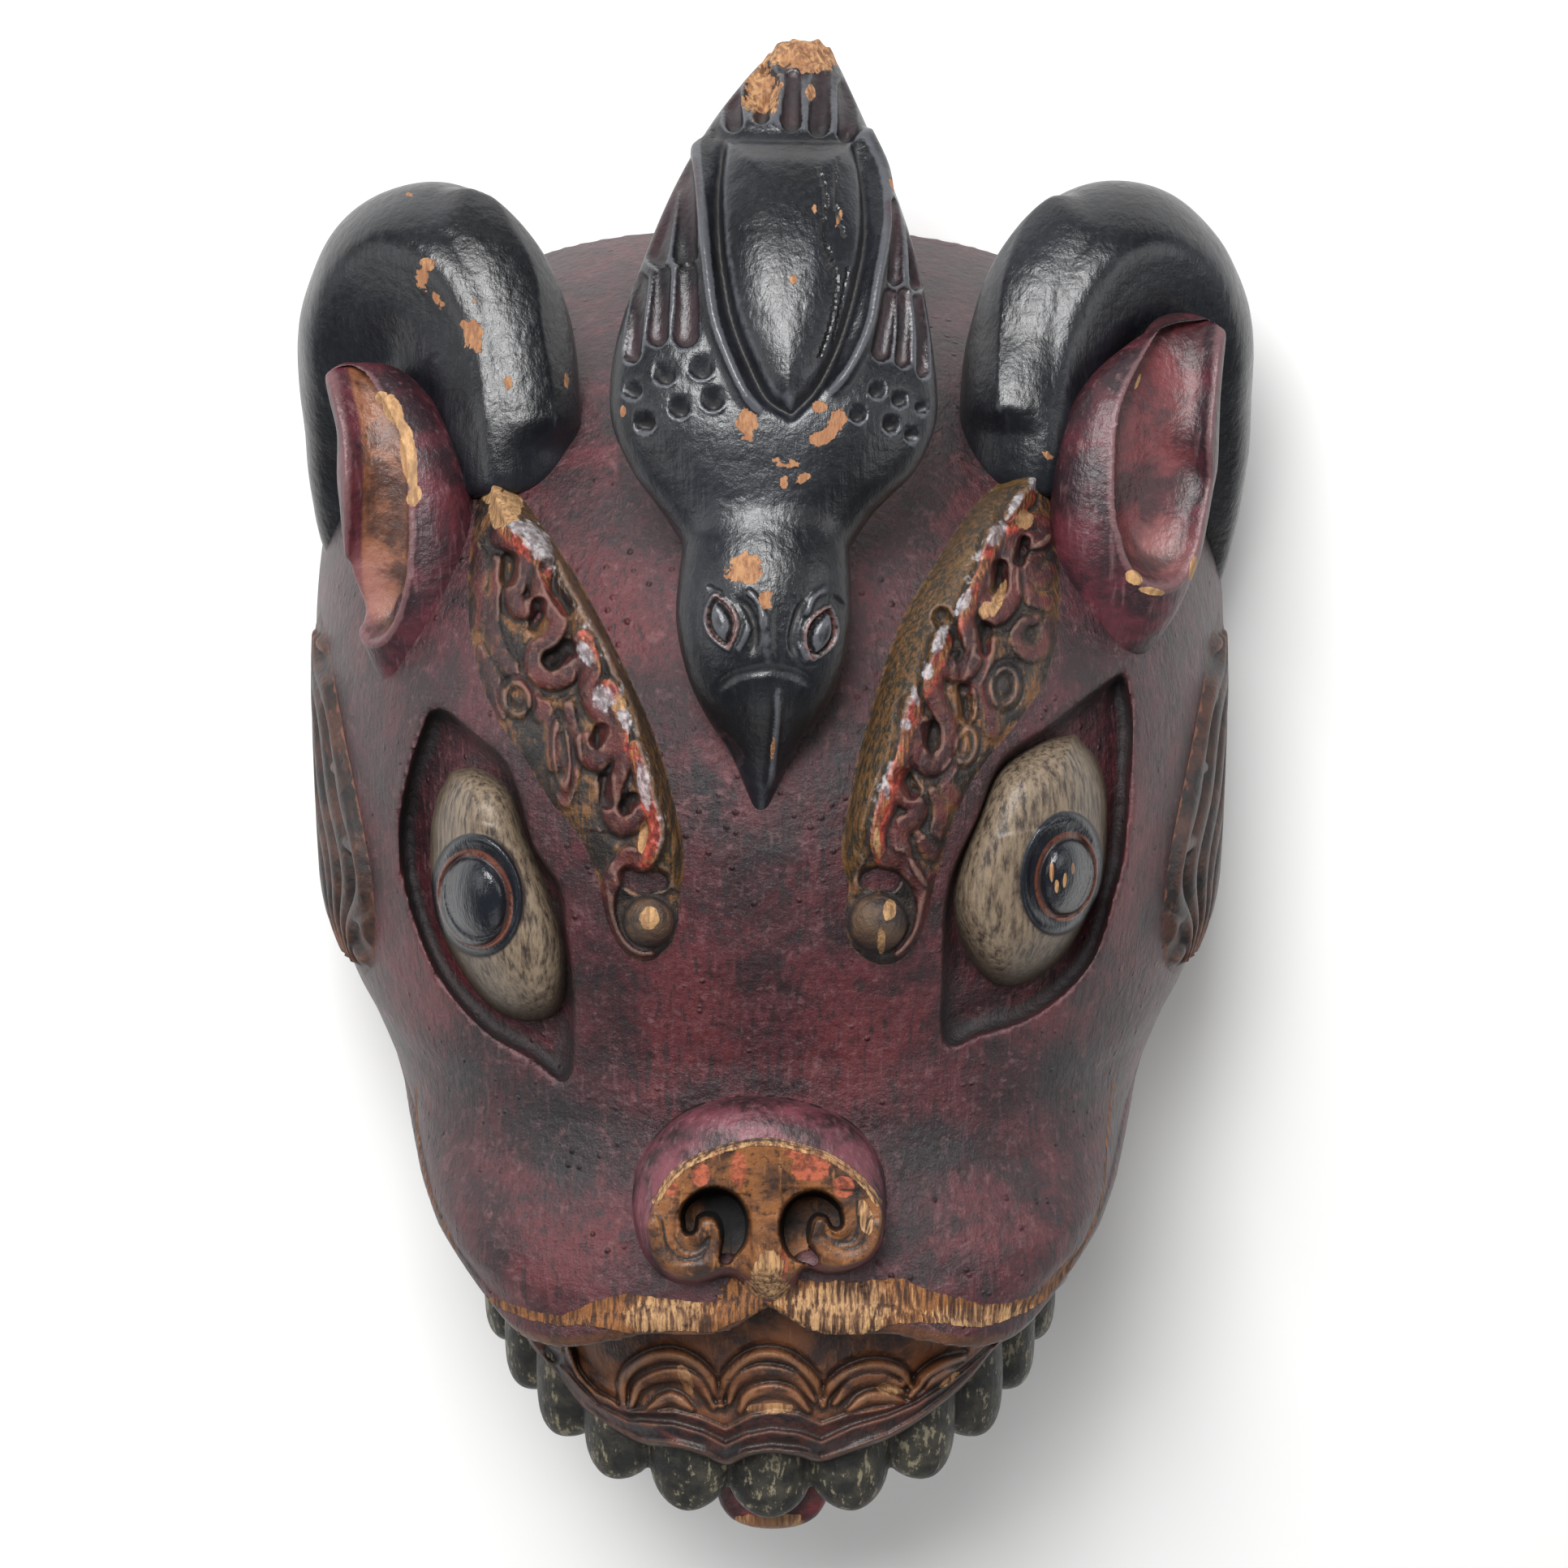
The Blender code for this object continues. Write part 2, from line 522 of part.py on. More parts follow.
def horn(carving, mats, side):
    """Curled horn: up from the temple, over, and down outside the ear."""
    tag = "left" if side == LEFT else "right"
    spine = np.array([(-66, 122, 112), (-68, 138, 108), (-71, 155, 98), (-77, 168, 91), (-87, 175, 84),
                      (-98, 168, 76), (-106, 150, 68), (-112, 124, 60), (-116, 101, 53), (-118, 82, 47),
                      (-119, 70, 43)], float)
    if side == RIGHT:
        spine = spine * (-1, 1, 1) + np.outer(np.linspace(0, 1, 11), (6.0, 1.0, 0))
    count = 22
    path = curve(spine, count)
    size = HORN_THICKNESS / STEP / 2
    share = np.linspace(0, 1, count)
    radius = size * blend(((0, 0.78), (0.15, 0.88), (0.38, 1), (0.5, 0.96), (0.66, 0.72), (0.85, 0.4),
                           (1, 0.06)), share)
    hub = np.array([side * 93.0, 132.0, 60.0])
    ahead = unit(np.gradient(path, axis=0))
    out = path - hub
    out = unit(out - ahead * np.sum(out * ahead, 1)[:, None])
    front = np.cross(ahead, out)
    front *= np.sign(front[:, 2])[:, None]
    rings = []
    corners = ((0.97, 0), (1.04, 38), (0.98, 62), (0.97, 90), (1.0, 120), (1.05, 150), (1.05, 185),
               (1.03, 220), (0.97, 255), (0.95, 290), (0.96, 325))
    for p, r, o, f in zip(path, radius, out, front):
        ring = [p + r * share * (o * math.cos(math.radians(a)) + f * math.sin(math.radians(a)))
                for share, a in corners]
        rings.append(ring)
    carving.solid("horn_" + tag, np.array(rings), mats["black"])

    # Web of wood left inside the curl
    carving.dome("horn_web_" + tag, np.array([side * 87.0, 150.0, 85.0]), unit(np.array([side * 0.45, 0.4, 0.8])),
                 np.array([0, 1.0, 0]), 21, 19, 8.0, mats["black"], sink=22.0, sides=10, levels=2)


def ear(carving, mats, side):
    """Upright ear with a hollow that faces forward and outward."""
    tag = "left" if side == LEFT else "right"
    if side == LEFT:
        spine = [(-98, 71, 120), (-94, 84, 122), (-93, 104, 121), (-95, 125, 116), (-101, 142, 109),
                 (-113, 152, 101)]
        widths = ((0, 3), (0.12, 12), (0.35, 18), (0.6, 18.5), (0.85, 12), (1, 2.5))
        hollow_line = [(-102, 86, 135), (-105, 104, 135), (-107, 124, 129), (-112, 144, 114)]
        hollow_widths = ((0, 7), (0.25, 10.5), (0.6, 12), (0.85, 9), (1, 3.0))
    else:
        spine = [(95, 82, 122), (94, 94, 126), (95, 115, 124), (98, 134, 118), (106, 152, 109),
                 (116, 164, 101)]
        widths = ((0, 4), (0.12, 13), (0.35, 20), (0.6, 22), (0.85, 13), (1, 2.5))
        hollow_line = [(104, 95, 141), (105, 114, 141), (107, 134, 131), (114, 155, 113)]
        hollow_widths = ((0, 9), (0.25, 13), (0.6, 13.5), (0.85, 10), (1, 3.5))
    thick = EAR_THICKNESS / STEP / 2
    facing = unit(np.array([side * 0.50, -0.10, 0.86]))

    def tube(points, count, width_table, depth, sides):
        path = curve(points, count)
        share = np.linspace(0, 1, count)
        half = blend(width_table, share)
        ahead = unit(np.gradient(path, axis=0))
        across = unit(np.cross(facing, ahead))
        front = unit(np.cross(ahead, across))
        turn = np.linspace(0, 2 * math.pi, sides, endpoint=False)
        rings = []
        for p, h, a, f, s in zip(path, half, across, front, share):
            d = depth * (h / max(half)) ** 0.6
            rings.append(p + np.cos(turn)[:, None] * a * h + np.sin(turn)[:, None] * f * d)
        return np.array(rings)

    carving.solid("ear_" + tag, tube(spine, 13, widths, thick, 12), mats["maroon"])
    cut = tube(hollow_line, 10, hollow_widths, EAR_HOLLOW_DEPTH / STEP, 10)
    carving.solid("ear_hollow_" + tag, cut + facing * 1.0, mats["maroon"], group="cut_last")


def bird_form():
    """Stations of the bird's body from its tail to its neck: place, half width and share of thickness."""
    return curve([(8.5, 241, 120, 7.5, 0.45), (5.3, 226, 134, 18.7, 0.62), (4, 212, 147, 27, 0.75),
                  (3, 195, 160, 34, 0.92), (1.5, 176, 170, 39, 1.0), (1.5, 160, 177, 40, 1.0),
                  (1.5, 147, 180, 35, 1.0), (0, 136, 182, 26, 1.0), (0, 126, 184, 19, 1.0)], 17)


def on_bird(x, y, lift):
    """Points on the bird's upper side at x and y, raised by lift, and the directions out of it."""
    form = bird_form()[::-1]
    thick = BIRD_THICKNESS / STEP / 2
    mid_x, mid_z, half, share = [np.interp(y, form[:, 1], form[:, k]) for k in (0, 2, 3, 4)]
    slope = np.interp(y, form[:, 1], np.gradient(form[:, 2], form[:, 1]))
    up = unit(np.stack([0 * slope, -slope, 1 + 0 * slope], -1))
    off = np.clip(np.abs(x - mid_x) / half, 0, 0.97)
    high = thick * share * np.sqrt(1 - off ** 2.5) - thick * 0.25
    lean = thick * share / half * 1.25 * off ** 1.5 / np.sqrt(1 - off ** 2.5) * np.sign(x - mid_x)
    normal = unit(up + lean[..., None] * np.array([1.0, 0, 0]))
    p = np.stack([x, y, mid_z], -1) + up * high[..., None]
    return p + normal * np.asarray(lift, float)[..., None], normal


def wing(carving, mats, side, tag):
    """Ridge along the back, long feathers towards the tail and short ones towards the shoulder."""
    edge = curve([(19, 226), (22.5, 207), (22, 190), (17.5, 172), (10, 159), (3.4, 151)], 12)
    path, normals = on_bird(edge[:, 0] * side + BACK_OFFSET, edge[:, 1], np.zeros(12))
    carving.ridge("wing_ridge_" + tag, path, normals, 2.3, 2.2, mats["black"], ROUND)

    flat = ((-1, -1), (-0.85, 0.7), (0, 1), (0.85, 0.7), (1, -1))
    first = 28.5 if side == RIGHT else 20.5
    pitch = 3.6 if side == RIGHT else 5.4
    for i in range(3):
        out = first + pitch * i
        line = curve([(out - 4, 214 - 7.0 * i), (out - 1, 199 - 7.0 * i), (out, 183 - 4.0 * i)], 6)
        path, normals = on_bird(line[:, 0] * side, line[:, 1], np.zeros(6))
        carving.ridge("long_feather_%s_%d" % (tag, i), path, normals, np.linspace(1, pitch * 0.47, 6), 1.8,
                      mats["black"], flat, sink=3.0)
    for row in range(3):
        for i in range(3):
            x = side * (first - 0.5 + (pitch + 0.6) * i - 1.5 * row)
            spot, normal = on_bird(np.float64(x), np.float64(175 - 3.0 * i - 7.0 * row), 0.0)
            carving.dome("short_feather_%s_%d" % (tag, row * 3 + i), spot, normal,
                         np.array([side * 0.2, 1.0, 0]), 4.4, pitch * 0.6, 1.8, mats["black"], sides=8,
                         levels=1, sink=3.0)


def bird(carving, mats):
    """Bird that lies head down on the forehead, its broken tail past the crown."""
    thick = BIRD_THICKNESS / STEP / 2
    stations = bird_form()
    turn = np.linspace(0, 2 * math.pi, 14, endpoint=False)
    ahead = unit(np.gradient(stations[:, :3], axis=0))
    rings = []
    for (x, y, z, half, share), a in zip(stations, ahead):
        up = unit(np.cross(a, (1.0, 0, 0)))
        up *= np.sign(up[2])
        c, s = np.cos(turn), np.sin(turn)
        oval = (np.sign(c) * np.abs(c) ** 0.8)[:, None] * np.array([half, 0, 0]) \
            + (s * thick * share)[:, None] * up
        rings.append(np.array([x, y, z]) - up * thick * 0.25 + oval)
    carving.solid("bird_body", np.array(rings), mats["black"])

    rings = []
    for y, half in zip(np.linspace(224, 155, 12),
                       blend(((0, 12), (0.25, 17), (0.5, 18.5), (0.75, 14), (0.93, 7), (1, 2)), np.linspace(0, 1, 12))):
        across = np.array([-1, -1, -0.8, -0.4, 0, 0.4, 0.8, 1, 1])
        lifts = np.array([-6, -1, 1.6, 3.4, 4.0, 3.4, 1.6, -1, -6]) * min(1, half / 12)
        rings.append(on_bird(BACK_OFFSET + half * across, np.full(9, y), lifts)[0])
    carving.solid("bird_back", np.array(rings), mats["black"])

    for side in (LEFT, RIGHT):
        wing(carving, mats, side, "left" if side == LEFT else "right")

    gouge = ((-9, 245, 126), (-5.5, 240, 130), (-1.5, 234, 135), (2.5, 227, 141.5))
    rings = [np.array(p) + np.stack([r * np.cos(turn), 0 * turn, r * 0.8 * np.sin(turn)], 1)
             for p, r in zip(gouge, (5.5, 4.5, 3.8, 1.5))]
    carving.solid("tail_gouge", np.array(rings), mats["bare_wood"], group="cut_last")

    stations = curve([(0, 140, 186, 19, 13), (-0.5, 128, 191, 20.5, 16), (-1, 113, 194, 21.5, 18),
                      (-1, 99, 195, 19, 16), (-1, 88, 193.5, 14.5, 12), (-1.5, 76, 191, 8.5, 7.5),
                      (-2, 66, 189, 4.2, 4.5), (-2.5, 60, 188, 1.5, 2)], 15)
    rings = []
    for x, y, z, half, high in stations:
        rings.append(np.stack([x + half * np.cos(turn), np.full(14, y), z - 3 + high * np.sin(turn)], 1))
    carving.solid("bird_head", np.array(rings), mats["black"])
    for side in (LEFT, RIGHT):
        tag = "left" if side == LEFT else "right"
        normal = unit(np.array([side * 0.6, -0.1, 0.8]))
        spot = np.array([-1 + side * 13.0, 110.0, 202.0])
        carving.dome("bird_eye_" + tag, spot, normal, np.array([side * -0.35, 1.0, 0]), 6.0, 3.4, 3.0,
                     mats["black"], sides=10, levels=2, sink=4.0)


def cheek_tuft(carving, mats, side):
    """Flame-shaped tuft of hair at the back of each cheek."""
    tag = "left" if side == LEFT else "right"
    lines = ([(58, 62), (50, 84), (30, 96), (10, 98), (-8, 96)],
             [(60, 44), (46, 66), (28, 80), (8, 86), (-8, 92)],
             [(44, 40), (34, 56), (20, 68), (4, 76), (-9, 88)],
             [(28, 36), (20, 48), (8, 58), (-4, 68), (-12, 84)])
    for i, line in enumerate(lines):
        yz = curve(line, 11)
        path, normals = on_side(head_section, side, yz, np.full(11, -1.2))
        width = blend(((0, 1.4), (0.2, 3.8), (0.7, 3.6), (1, 1.6)), np.linspace(0, 1, 11))
        carving.ridge("tuft_%s_%d" % (tag, i), path, normals, width, 2.8, mats["gold"], ROUND)


def add_boolean(obj, name, operation, group):
    modifier = obj.modifiers.new(name, "BOOLEAN")
    modifier.operation = operation
    modifier.operand_type = "COLLECTION"
    modifier.collection = group
    modifier.solver = "EXACT"
    modifier.material_mode = "TRANSFER"


def stand_on_origin(mask, carving):
    """Moves the whole work so that the origin is under the middle of its outline, on the rim's plane."""
    outer = [mask] + list(carving.groups["add"].objects)
    points = np.array([v.co[:] for obj in outer for v in obj.data.vertices])
    middle = (points.min(0) + points.max(0)) / 2
    shift = Matrix.Translation((-middle[0], -middle[1], 0))
    for obj in [mask] + [o for group in carving.groups.values() for o in group.objects]:
        obj.data.transform(shift)


def main():
    for old in list(bpy.data.objects):
        bpy.data.objects.remove(old)
    mats = {
        "maroon": material("maroon_paint", (0.11, 0.022, 0.03), 0.45),
        "black": material("black_paint", (0.012, 0.014, 0.018), 0.35),
        "gold": material("old_gold_paint", (0.16, 0.09, 0.03), 0.5),
        "flame": material("flame_red_paint", (0.35, 0.06, 0.03), 0.45),
        "eye_white": material("eye_white_paint", (0.36, 0.31, 0.23), 0.5),
        "nose": material("worn_snout", (0.22, 0.09, 0.035), 0.5),
        "gum": material("gum_paint", (0.19, 0.08, 0.03), 0.5),
        "tooth": material("dirty_tooth", (0.06, 0.06, 0.045), 0.5),
        "tongue": material("tongue_red_paint", (0.16, 0.02, 0.02), 0.5),
        "mouth": material("mouth_red_paint", (0.09, 0.015, 0.015), 0.6),
        "bare_wood": material("bare_wood", (0.34, 0.19, 0.09), 0.7),
    }
    carving = Carving()
    mask = build_block(carving, mats)
    hollow(carving, mats)
    nose(carving, mats)
    mouth(carving, mats)
    bird(carving, mats)
    for side in (LEFT, RIGHT):
        eye(carving, mats, side)
        brow(carving, mats, side)
        horn(carving, mats, side)
        ear(carving, mats, side)
        cheek_tuft(carving, mats, side)
    stand_on_origin(mask, carving)

    add_boolean(mask, "mouth_and_sockets", "DIFFERENCE", carving.groups["cut_first"])
    add_boolean(mask, "carved_forms", "UNION", carving.groups["add"])
    add_boolean(mask, "hollows", "DIFFERENCE", carving.groups["cut_last"])
    thin = mask.modifiers.new("fewer_facets", "DECIMATE")
    thin.decimate_type = "COLLAPSE"
    thin.use_collapse_triangulate = True
    thin.ratio = FACET_SHARE


main()
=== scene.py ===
"""Carved and painted helmet mask of a horned animal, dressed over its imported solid.

The carving is laid out on the carver's grid, in millimetres: X across, Y up the face, Z out of the rim.
Marks on the face are given as places in the picture, and are carried back onto the wood they sit on.
"""
import math

import bmesh
import bpy
import numpy as np
from mathutils import Matrix, Vector, noise


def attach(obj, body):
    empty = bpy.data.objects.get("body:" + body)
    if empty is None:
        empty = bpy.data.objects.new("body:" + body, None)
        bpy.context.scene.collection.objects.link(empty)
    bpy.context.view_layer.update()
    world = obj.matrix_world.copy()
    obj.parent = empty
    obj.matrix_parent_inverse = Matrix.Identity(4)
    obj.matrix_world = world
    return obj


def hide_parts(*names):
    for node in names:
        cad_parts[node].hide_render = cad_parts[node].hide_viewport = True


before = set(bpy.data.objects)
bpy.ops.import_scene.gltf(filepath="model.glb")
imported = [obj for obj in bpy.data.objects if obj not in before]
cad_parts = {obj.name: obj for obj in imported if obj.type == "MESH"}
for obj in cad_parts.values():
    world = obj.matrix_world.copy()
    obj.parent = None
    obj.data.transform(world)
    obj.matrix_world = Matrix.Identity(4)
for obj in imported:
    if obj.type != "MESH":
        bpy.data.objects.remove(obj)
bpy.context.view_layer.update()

LEFT, RIGHT = -1, 1
GRID_ORIGIN = np.array([-0.426, -35.345, 0.0])

# The picture: where it was taken from, in millimetres on the grid, and its centre and focal length in dots
VIEW_TILT = math.radians(20.0)
VIEW_DISTANCE = 1150.0
VIEW_LENGTH = 5227.0
VIEW_MIDDLE = 966.0
VIEW_TARGET = np.array([4.0, 36.4, 100.0])
VIEW_OUT = np.array([0.0, math.sin(VIEW_TILT), math.cos(VIEW_TILT)])
VIEW_UP = np.array([0.0, math.cos(VIEW_TILT), -math.sin(VIEW_TILT)])

# Sections of the head and of the jaw behind the lips: height up the face against a size
HEAD_HALF_WIDTH = ((-150, 78), (-95, 83), (-85, 88), (-79, 92), (-71, 97), (-63, 100.5), (-52, 105.5),
                   (-44, 112), (-34, 118), (-20, 125.5), (0, 129.5), (50, 130))
HEAD_FRONT = ((-150, 189), (-90, 189), (-75, 188), (-60, 185), (-45, 181), (-30, 178), (-15, 177.5),
              (0, 180), (25, 186), (50, 189))
HEAD_SQUARENESS = ((-150, 4.6), (-71, 4.5), (-63, 4.0), (-52, 3.2), (-44, 2.7), (-30, 2.5), (0, 2.45),
                   (50, 2.35), (172, 2.2))
CROWN, CROWN_START, FOREHEAD_START, HEAD_LOW = 167.5, 40.0, 50.0, -115.0
JAW_HALF_WIDTH = ((-168, 26), (-163, 48), (-155, 64), (-140, 77), (-120, 82), (-90, 86), (-60, 93),
                  (-40, 101), (-10, 110))
JAW_FRONT = ((-168, 70), (-163, 104), (-155, 132), (-145, 146), (-125, 157), (-92, 166), (-60, 166),
             (-10, 160))
JAW_SQUARENESS, CHIN = 2.5, -168.0
SIDE_WALL, FACE_WALL, ROOF_GAP = 14.0, 28.0, 4.0
LIP_BACK_TO_FRONT = ((-30, -24), (0, -28), (40, -33), (80, -52), (110, -62), (150, -80), (175, -94),
                     (200, -97))
LIP_BOW_START, LIP_BOW_REACH = 120.0, 50.0
LIP_BOW = ((0, 19), (5, 15.5), (11, 12), (20, 11), (30, 11), (42, 8), (56, 3.5), (70, 0.5), (130, 0))


def blend(table, at):
    """Smooth, never overshooting value of a table of (place, value) pairs."""
    knots, values = np.array(table, float).T
    gaps = np.diff(knots)
    slopes = np.diff(values) / gaps
    tangents = np.zeros(len(knots))
    tangents[0], tangents[-1] = slopes[0], slopes[-1]
    for i in range(1, len(knots) - 1):
        before, after = slopes[i - 1], slopes[i]
        if before * after > 0:
            a = 2 * gaps[i] + gaps[i - 1]
            b = gaps[i] + 2 * gaps[i - 1]
            tangents[i] = (a + b) / (a / before + b / after)
    at = np.clip(np.asarray(at, float), knots[0], knots[-1])
    i = np.clip(np.searchsorted(knots, at) - 1, 0, len(gaps) - 1)
    s = (at - knots[i]) / gaps[i]
    start = (1 + 2 * s) * (1 - s) ** 2 * values[i] + s * (1 - s) ** 2 * gaps[i] * tangents[i]
    end = s * s * (3 - 2 * s) * values[i + 1] + s * s * (s - 1) * gaps[i] * tangents[i + 1]
    return start + end


def curve(points, count):
    """Points spread evenly along the smooth curve through the given ones."""
    points = np.array(points, float)
    padded = np.vstack([2 * points[0] - points[1], points, 2 * points[-1] - points[-2]])
    s = np.linspace(0, 1, 12, endpoint=False)[:, None]
    pieces = []
    for a, b, c, d in zip(padded, padded[1:], padded[2:], padded[3:]):
        pieces.append(0.5 * (2 * b + (c - a) * s + (2 * a - 5 * b + 4 * c - d) * s ** 2
                             + (3 * b - a - 3 * c + d) * s ** 3))
    dense = np.vstack(pieces + [points[-1:]])
    steps = np.linalg.norm(np.diff(dense, axis=0), axis=1)
    along = np.concatenate([[0], np.cumsum(steps)])
    want = np.linspace(0, along[-1], count)
    return np.stack([np.interp(want, along, dense[:, k]) for k in range(dense.shape[1])], 1)


def unit(v):
    return v / np.maximum(np.linalg.norm(v, axis=-1, keepdims=True), 1e-9)


def ease(value, low, high):
    """0 below low, 1 above high, and smooth between."""
    t = np.clip((value - low) / (high - low), 0, 1)
    return t * t * (3 - 2 * t)


def head_section(y):
    side = np.clip((y - CROWN_START) / (CROWN - CROWN_START), 0, 0.99999)
    front = np.clip((y - FOREHEAD_START) / (CROWN - FOREHEAD_START), 0, 0.99999)
    half = blend(HEAD_HALF_WIDTH, y) * (1 - side ** 2.7) ** (1 / 2.7)
    depth = blend(HEAD_FRONT, y) * (1 - front ** 2.1) ** (1 / 2.1)
    return half, depth, blend(HEAD_SQUARENESS, y)


def jaw_section(y):
    return blend(JAW_HALF_WIDTH, y), blend(JAW_FRONT, y), JAW_SQUARENESS + 0 * y


def side_of(section, y, z):
    half, depth, n = section(y)
    return half * (1 - np.clip(np.abs(z) / depth, 0, 0.9995) ** n) ** (1 / n)


def fullness(section, p):
    """1 on a form, less inside it and more outside."""
    half, depth, n = section(p[..., 1])
    return ((np.abs(p[..., 0]) / half) ** n + (np.abs(p[..., 2]) / depth) ** n) ** (1 / n)


def normal_of(section, p):
    parts = []
    for axis in np.eye(3):
        parts.append(fullness(section, p + axis * 0.5) - fullness(section, p - axis * 0.5))
    return unit(np.stack(parts, -1))


def on_side(section, side, yz):
    """Points of a form's side, and directions out of it, at heights up the face and out of the rim."""
    y, z = np.asarray(yz, float).T
    p = np.stack([side * side_of(section, y, z), y, z], -1)
    return p, normal_of(section, p)


def seen(p):
    """Place in the picture of points on the grid."""
    q = np.asarray(p, float) - VIEW_TARGET
    depth = VIEW_DISTANCE - q @ VIEW_OUT
    return np.stack([VIEW_MIDDLE + VIEW_LENGTH * q[..., 0] / depth,
                     VIEW_MIDDLE - VIEW_LENGTH * (q @ VIEW_UP) / depth], -1)


def carried(places, section=head_section):
    """Points of a form, and directions out of it, under places in the picture."""
    places = np.asarray(places, float)
    eye = VIEW_TARGET + VIEW_OUT * VIEW_DISTANCE
    ray = ((places[..., :1] - VIEW_MIDDLE) / VIEW_LENGTH * np.array([1.0, 0, 0])
           + (VIEW_MIDDLE - places[..., 1:]) / VIEW_LENGTH * VIEW_UP - VIEW_OUT)
    near_t = np.full(places.shape[:-1], VIEW_DISTANCE - 175.0)
    far_t = np.full(places.shape[:-1], VIEW_DISTANCE + 40.0)
    steps = np.linspace(0, 1, 90)
    found = far_t.copy()
    open_yet = np.ones(places.shape[:-1], bool)
    for s in steps:
        t = near_t + (far_t - near_t) * s
        hit = (fullness(section, eye + ray * t[..., None]) < 1) & open_yet
        found[hit] = t[hit]
        open_yet &= ~hit
    step = (VIEW_DISTANCE + 40.0 - near_t.flat[0]) / 89 if places.size else 1.0
    low, high = found - step, found
    for _ in range(14):
        middle = (low + high) / 2
        inside = fullness(section, eye + ray * middle[..., None]) < 1
        high = np.where(inside, middle, high)
        low = np.where(inside, low, middle)
    p = eye + ray * high[..., None]
    return p, normal_of(section, p)


def towards_camera(p, n):
    """Ways from points of a form to the camera, as long as it takes to rise by one millimetre over it."""
    back = unit(VIEW_TARGET + VIEW_OUT * VIEW_DISTANCE - p)
    return back / np.maximum((back * n).sum(-1, keepdims=True), 0.45)


def near(places, line, closed=False):
    """Distance of places from a line of points, and the share along it of the nearest spot."""
    line = np.asarray(line, float)
    if closed:
        line = np.vstack([line, line[:1]])
    best = np.full(len(places), 1e9)
    share = np.zeros(len(places))
    count = len(line) - 1
    for i, (a, b) in enumerate(zip(line, line[1:])):
        ab = b - a
        t = np.clip(((places - a) @ ab) / max(ab @ ab, 1e-9), 0, 1)
        d = np.linalg.norm(places - a - t[:, None] * ab, axis=1)
        closer = d < best
        best = np.where(closer, d, best)
        share = np.where(closer, (i + t) / count, share)
    return best, share


def within(places, outline):
    """Distance of places from an outline: positive inside it, negative outside."""
    outline = np.asarray(outline, float)
    odd = np.zeros(len(places), bool)
    x, y = places.T
    for (ax, ay), (bx, by) in zip(outline, np.roll(outline, -1, axis=0)):
        if ay != by:
            crosses = (ay > y) != (by > y)
            odd ^= crosses & (x < (bx - ax) * (y - ay) / (by - ay) + ax)
    return near(places, outline, closed=True)[0] * np.where(odd, 1, -1)


class Relief:
    """Heights that are cut into or raised on a surface, stroke by stroke."""

    def __init__(self, places):
        self.places = np.asarray(places, float)
        self.height = np.zeros(len(self.places))

    def close_to(self, points, reach):
        low, high = np.min(points, 0) - reach, np.max(points, 0) + reach
        return np.flatnonzero(((self.places >= low) & (self.places <= high)).all(1))

    def stroke(self, points, half, height, sharp=1.0, count=None, fade=0.0):
        """Raised (or, below zero, cut) line with a rounded section; half may taper from end to end."""
        line = curve(points, count or max(3, 4 * len(points)))
        widest = np.max(half)
        spots = self.close_to(line, widest * 1.05)
        if not len(spots):
            return spots, np.zeros(0)
        d, share = near(self.places[spots], line)
        width = np.interp(share, np.linspace(0, 1, np.size(half)), np.atleast_1d(half))
        t = np.clip(d / width, 0, 1)
        amount = (1 - t ** 2) ** sharp
        if fade:
            amount = amount * ease(share, 0, fade) * ease(1 - share, 0, fade)
        self.height[spots] += amount * height
        return spots, amount

    def ridge(self, points, half, height, ground, count=None):
        """Ribbon that stands on the ground height; where ribbons meet the higher one wins."""
        line = curve(points, count or max(3, 4 * len(points)))
        spots = self.close_to(line, np.max(half) * 1.05)
        d, share = near(self.places[spots], line)
        width = np.interp(share, np.linspace(0, 1, np.size(half)), np.atleast_1d(half))
        t = np.clip(d / width, 0, 1)
        lift = ground[spots] + height * (1 - t ** 2.6) ** 0.55
        on = t < 1
        self.height[spots] = np.where(on, np.maximum(self.height[spots], lift), self.height[spots])
        return spots, (1 - t) * on


def turned(places, centre, half, turn):
    """Places as shares across and along an oval with half sizes (across, along) and a turn in degrees."""
    c, s = math.cos(math.radians(turn)), math.sin(math.radians(turn))
    q = places - np.array(centre)
    return (q[:, 0] * c + q[:, 1] * s) / half[0], (-q[:, 0] * s + q[:, 1] * c) / half[1]


def oval(places, centre, half, turn=0.0):
    """1 on the rim of an oval, less inside it and more outside."""
    u, v = turned(places, centre, half, turn)
    return np.sqrt(u * u + v * v)


def almond(places, centre, half, turn):
    """1 on the rim of an almond with two pointed ends, less inside it and more outside."""
    u, v = turned(places, centre, half, turn)
    return np.abs(u) + v ** 2


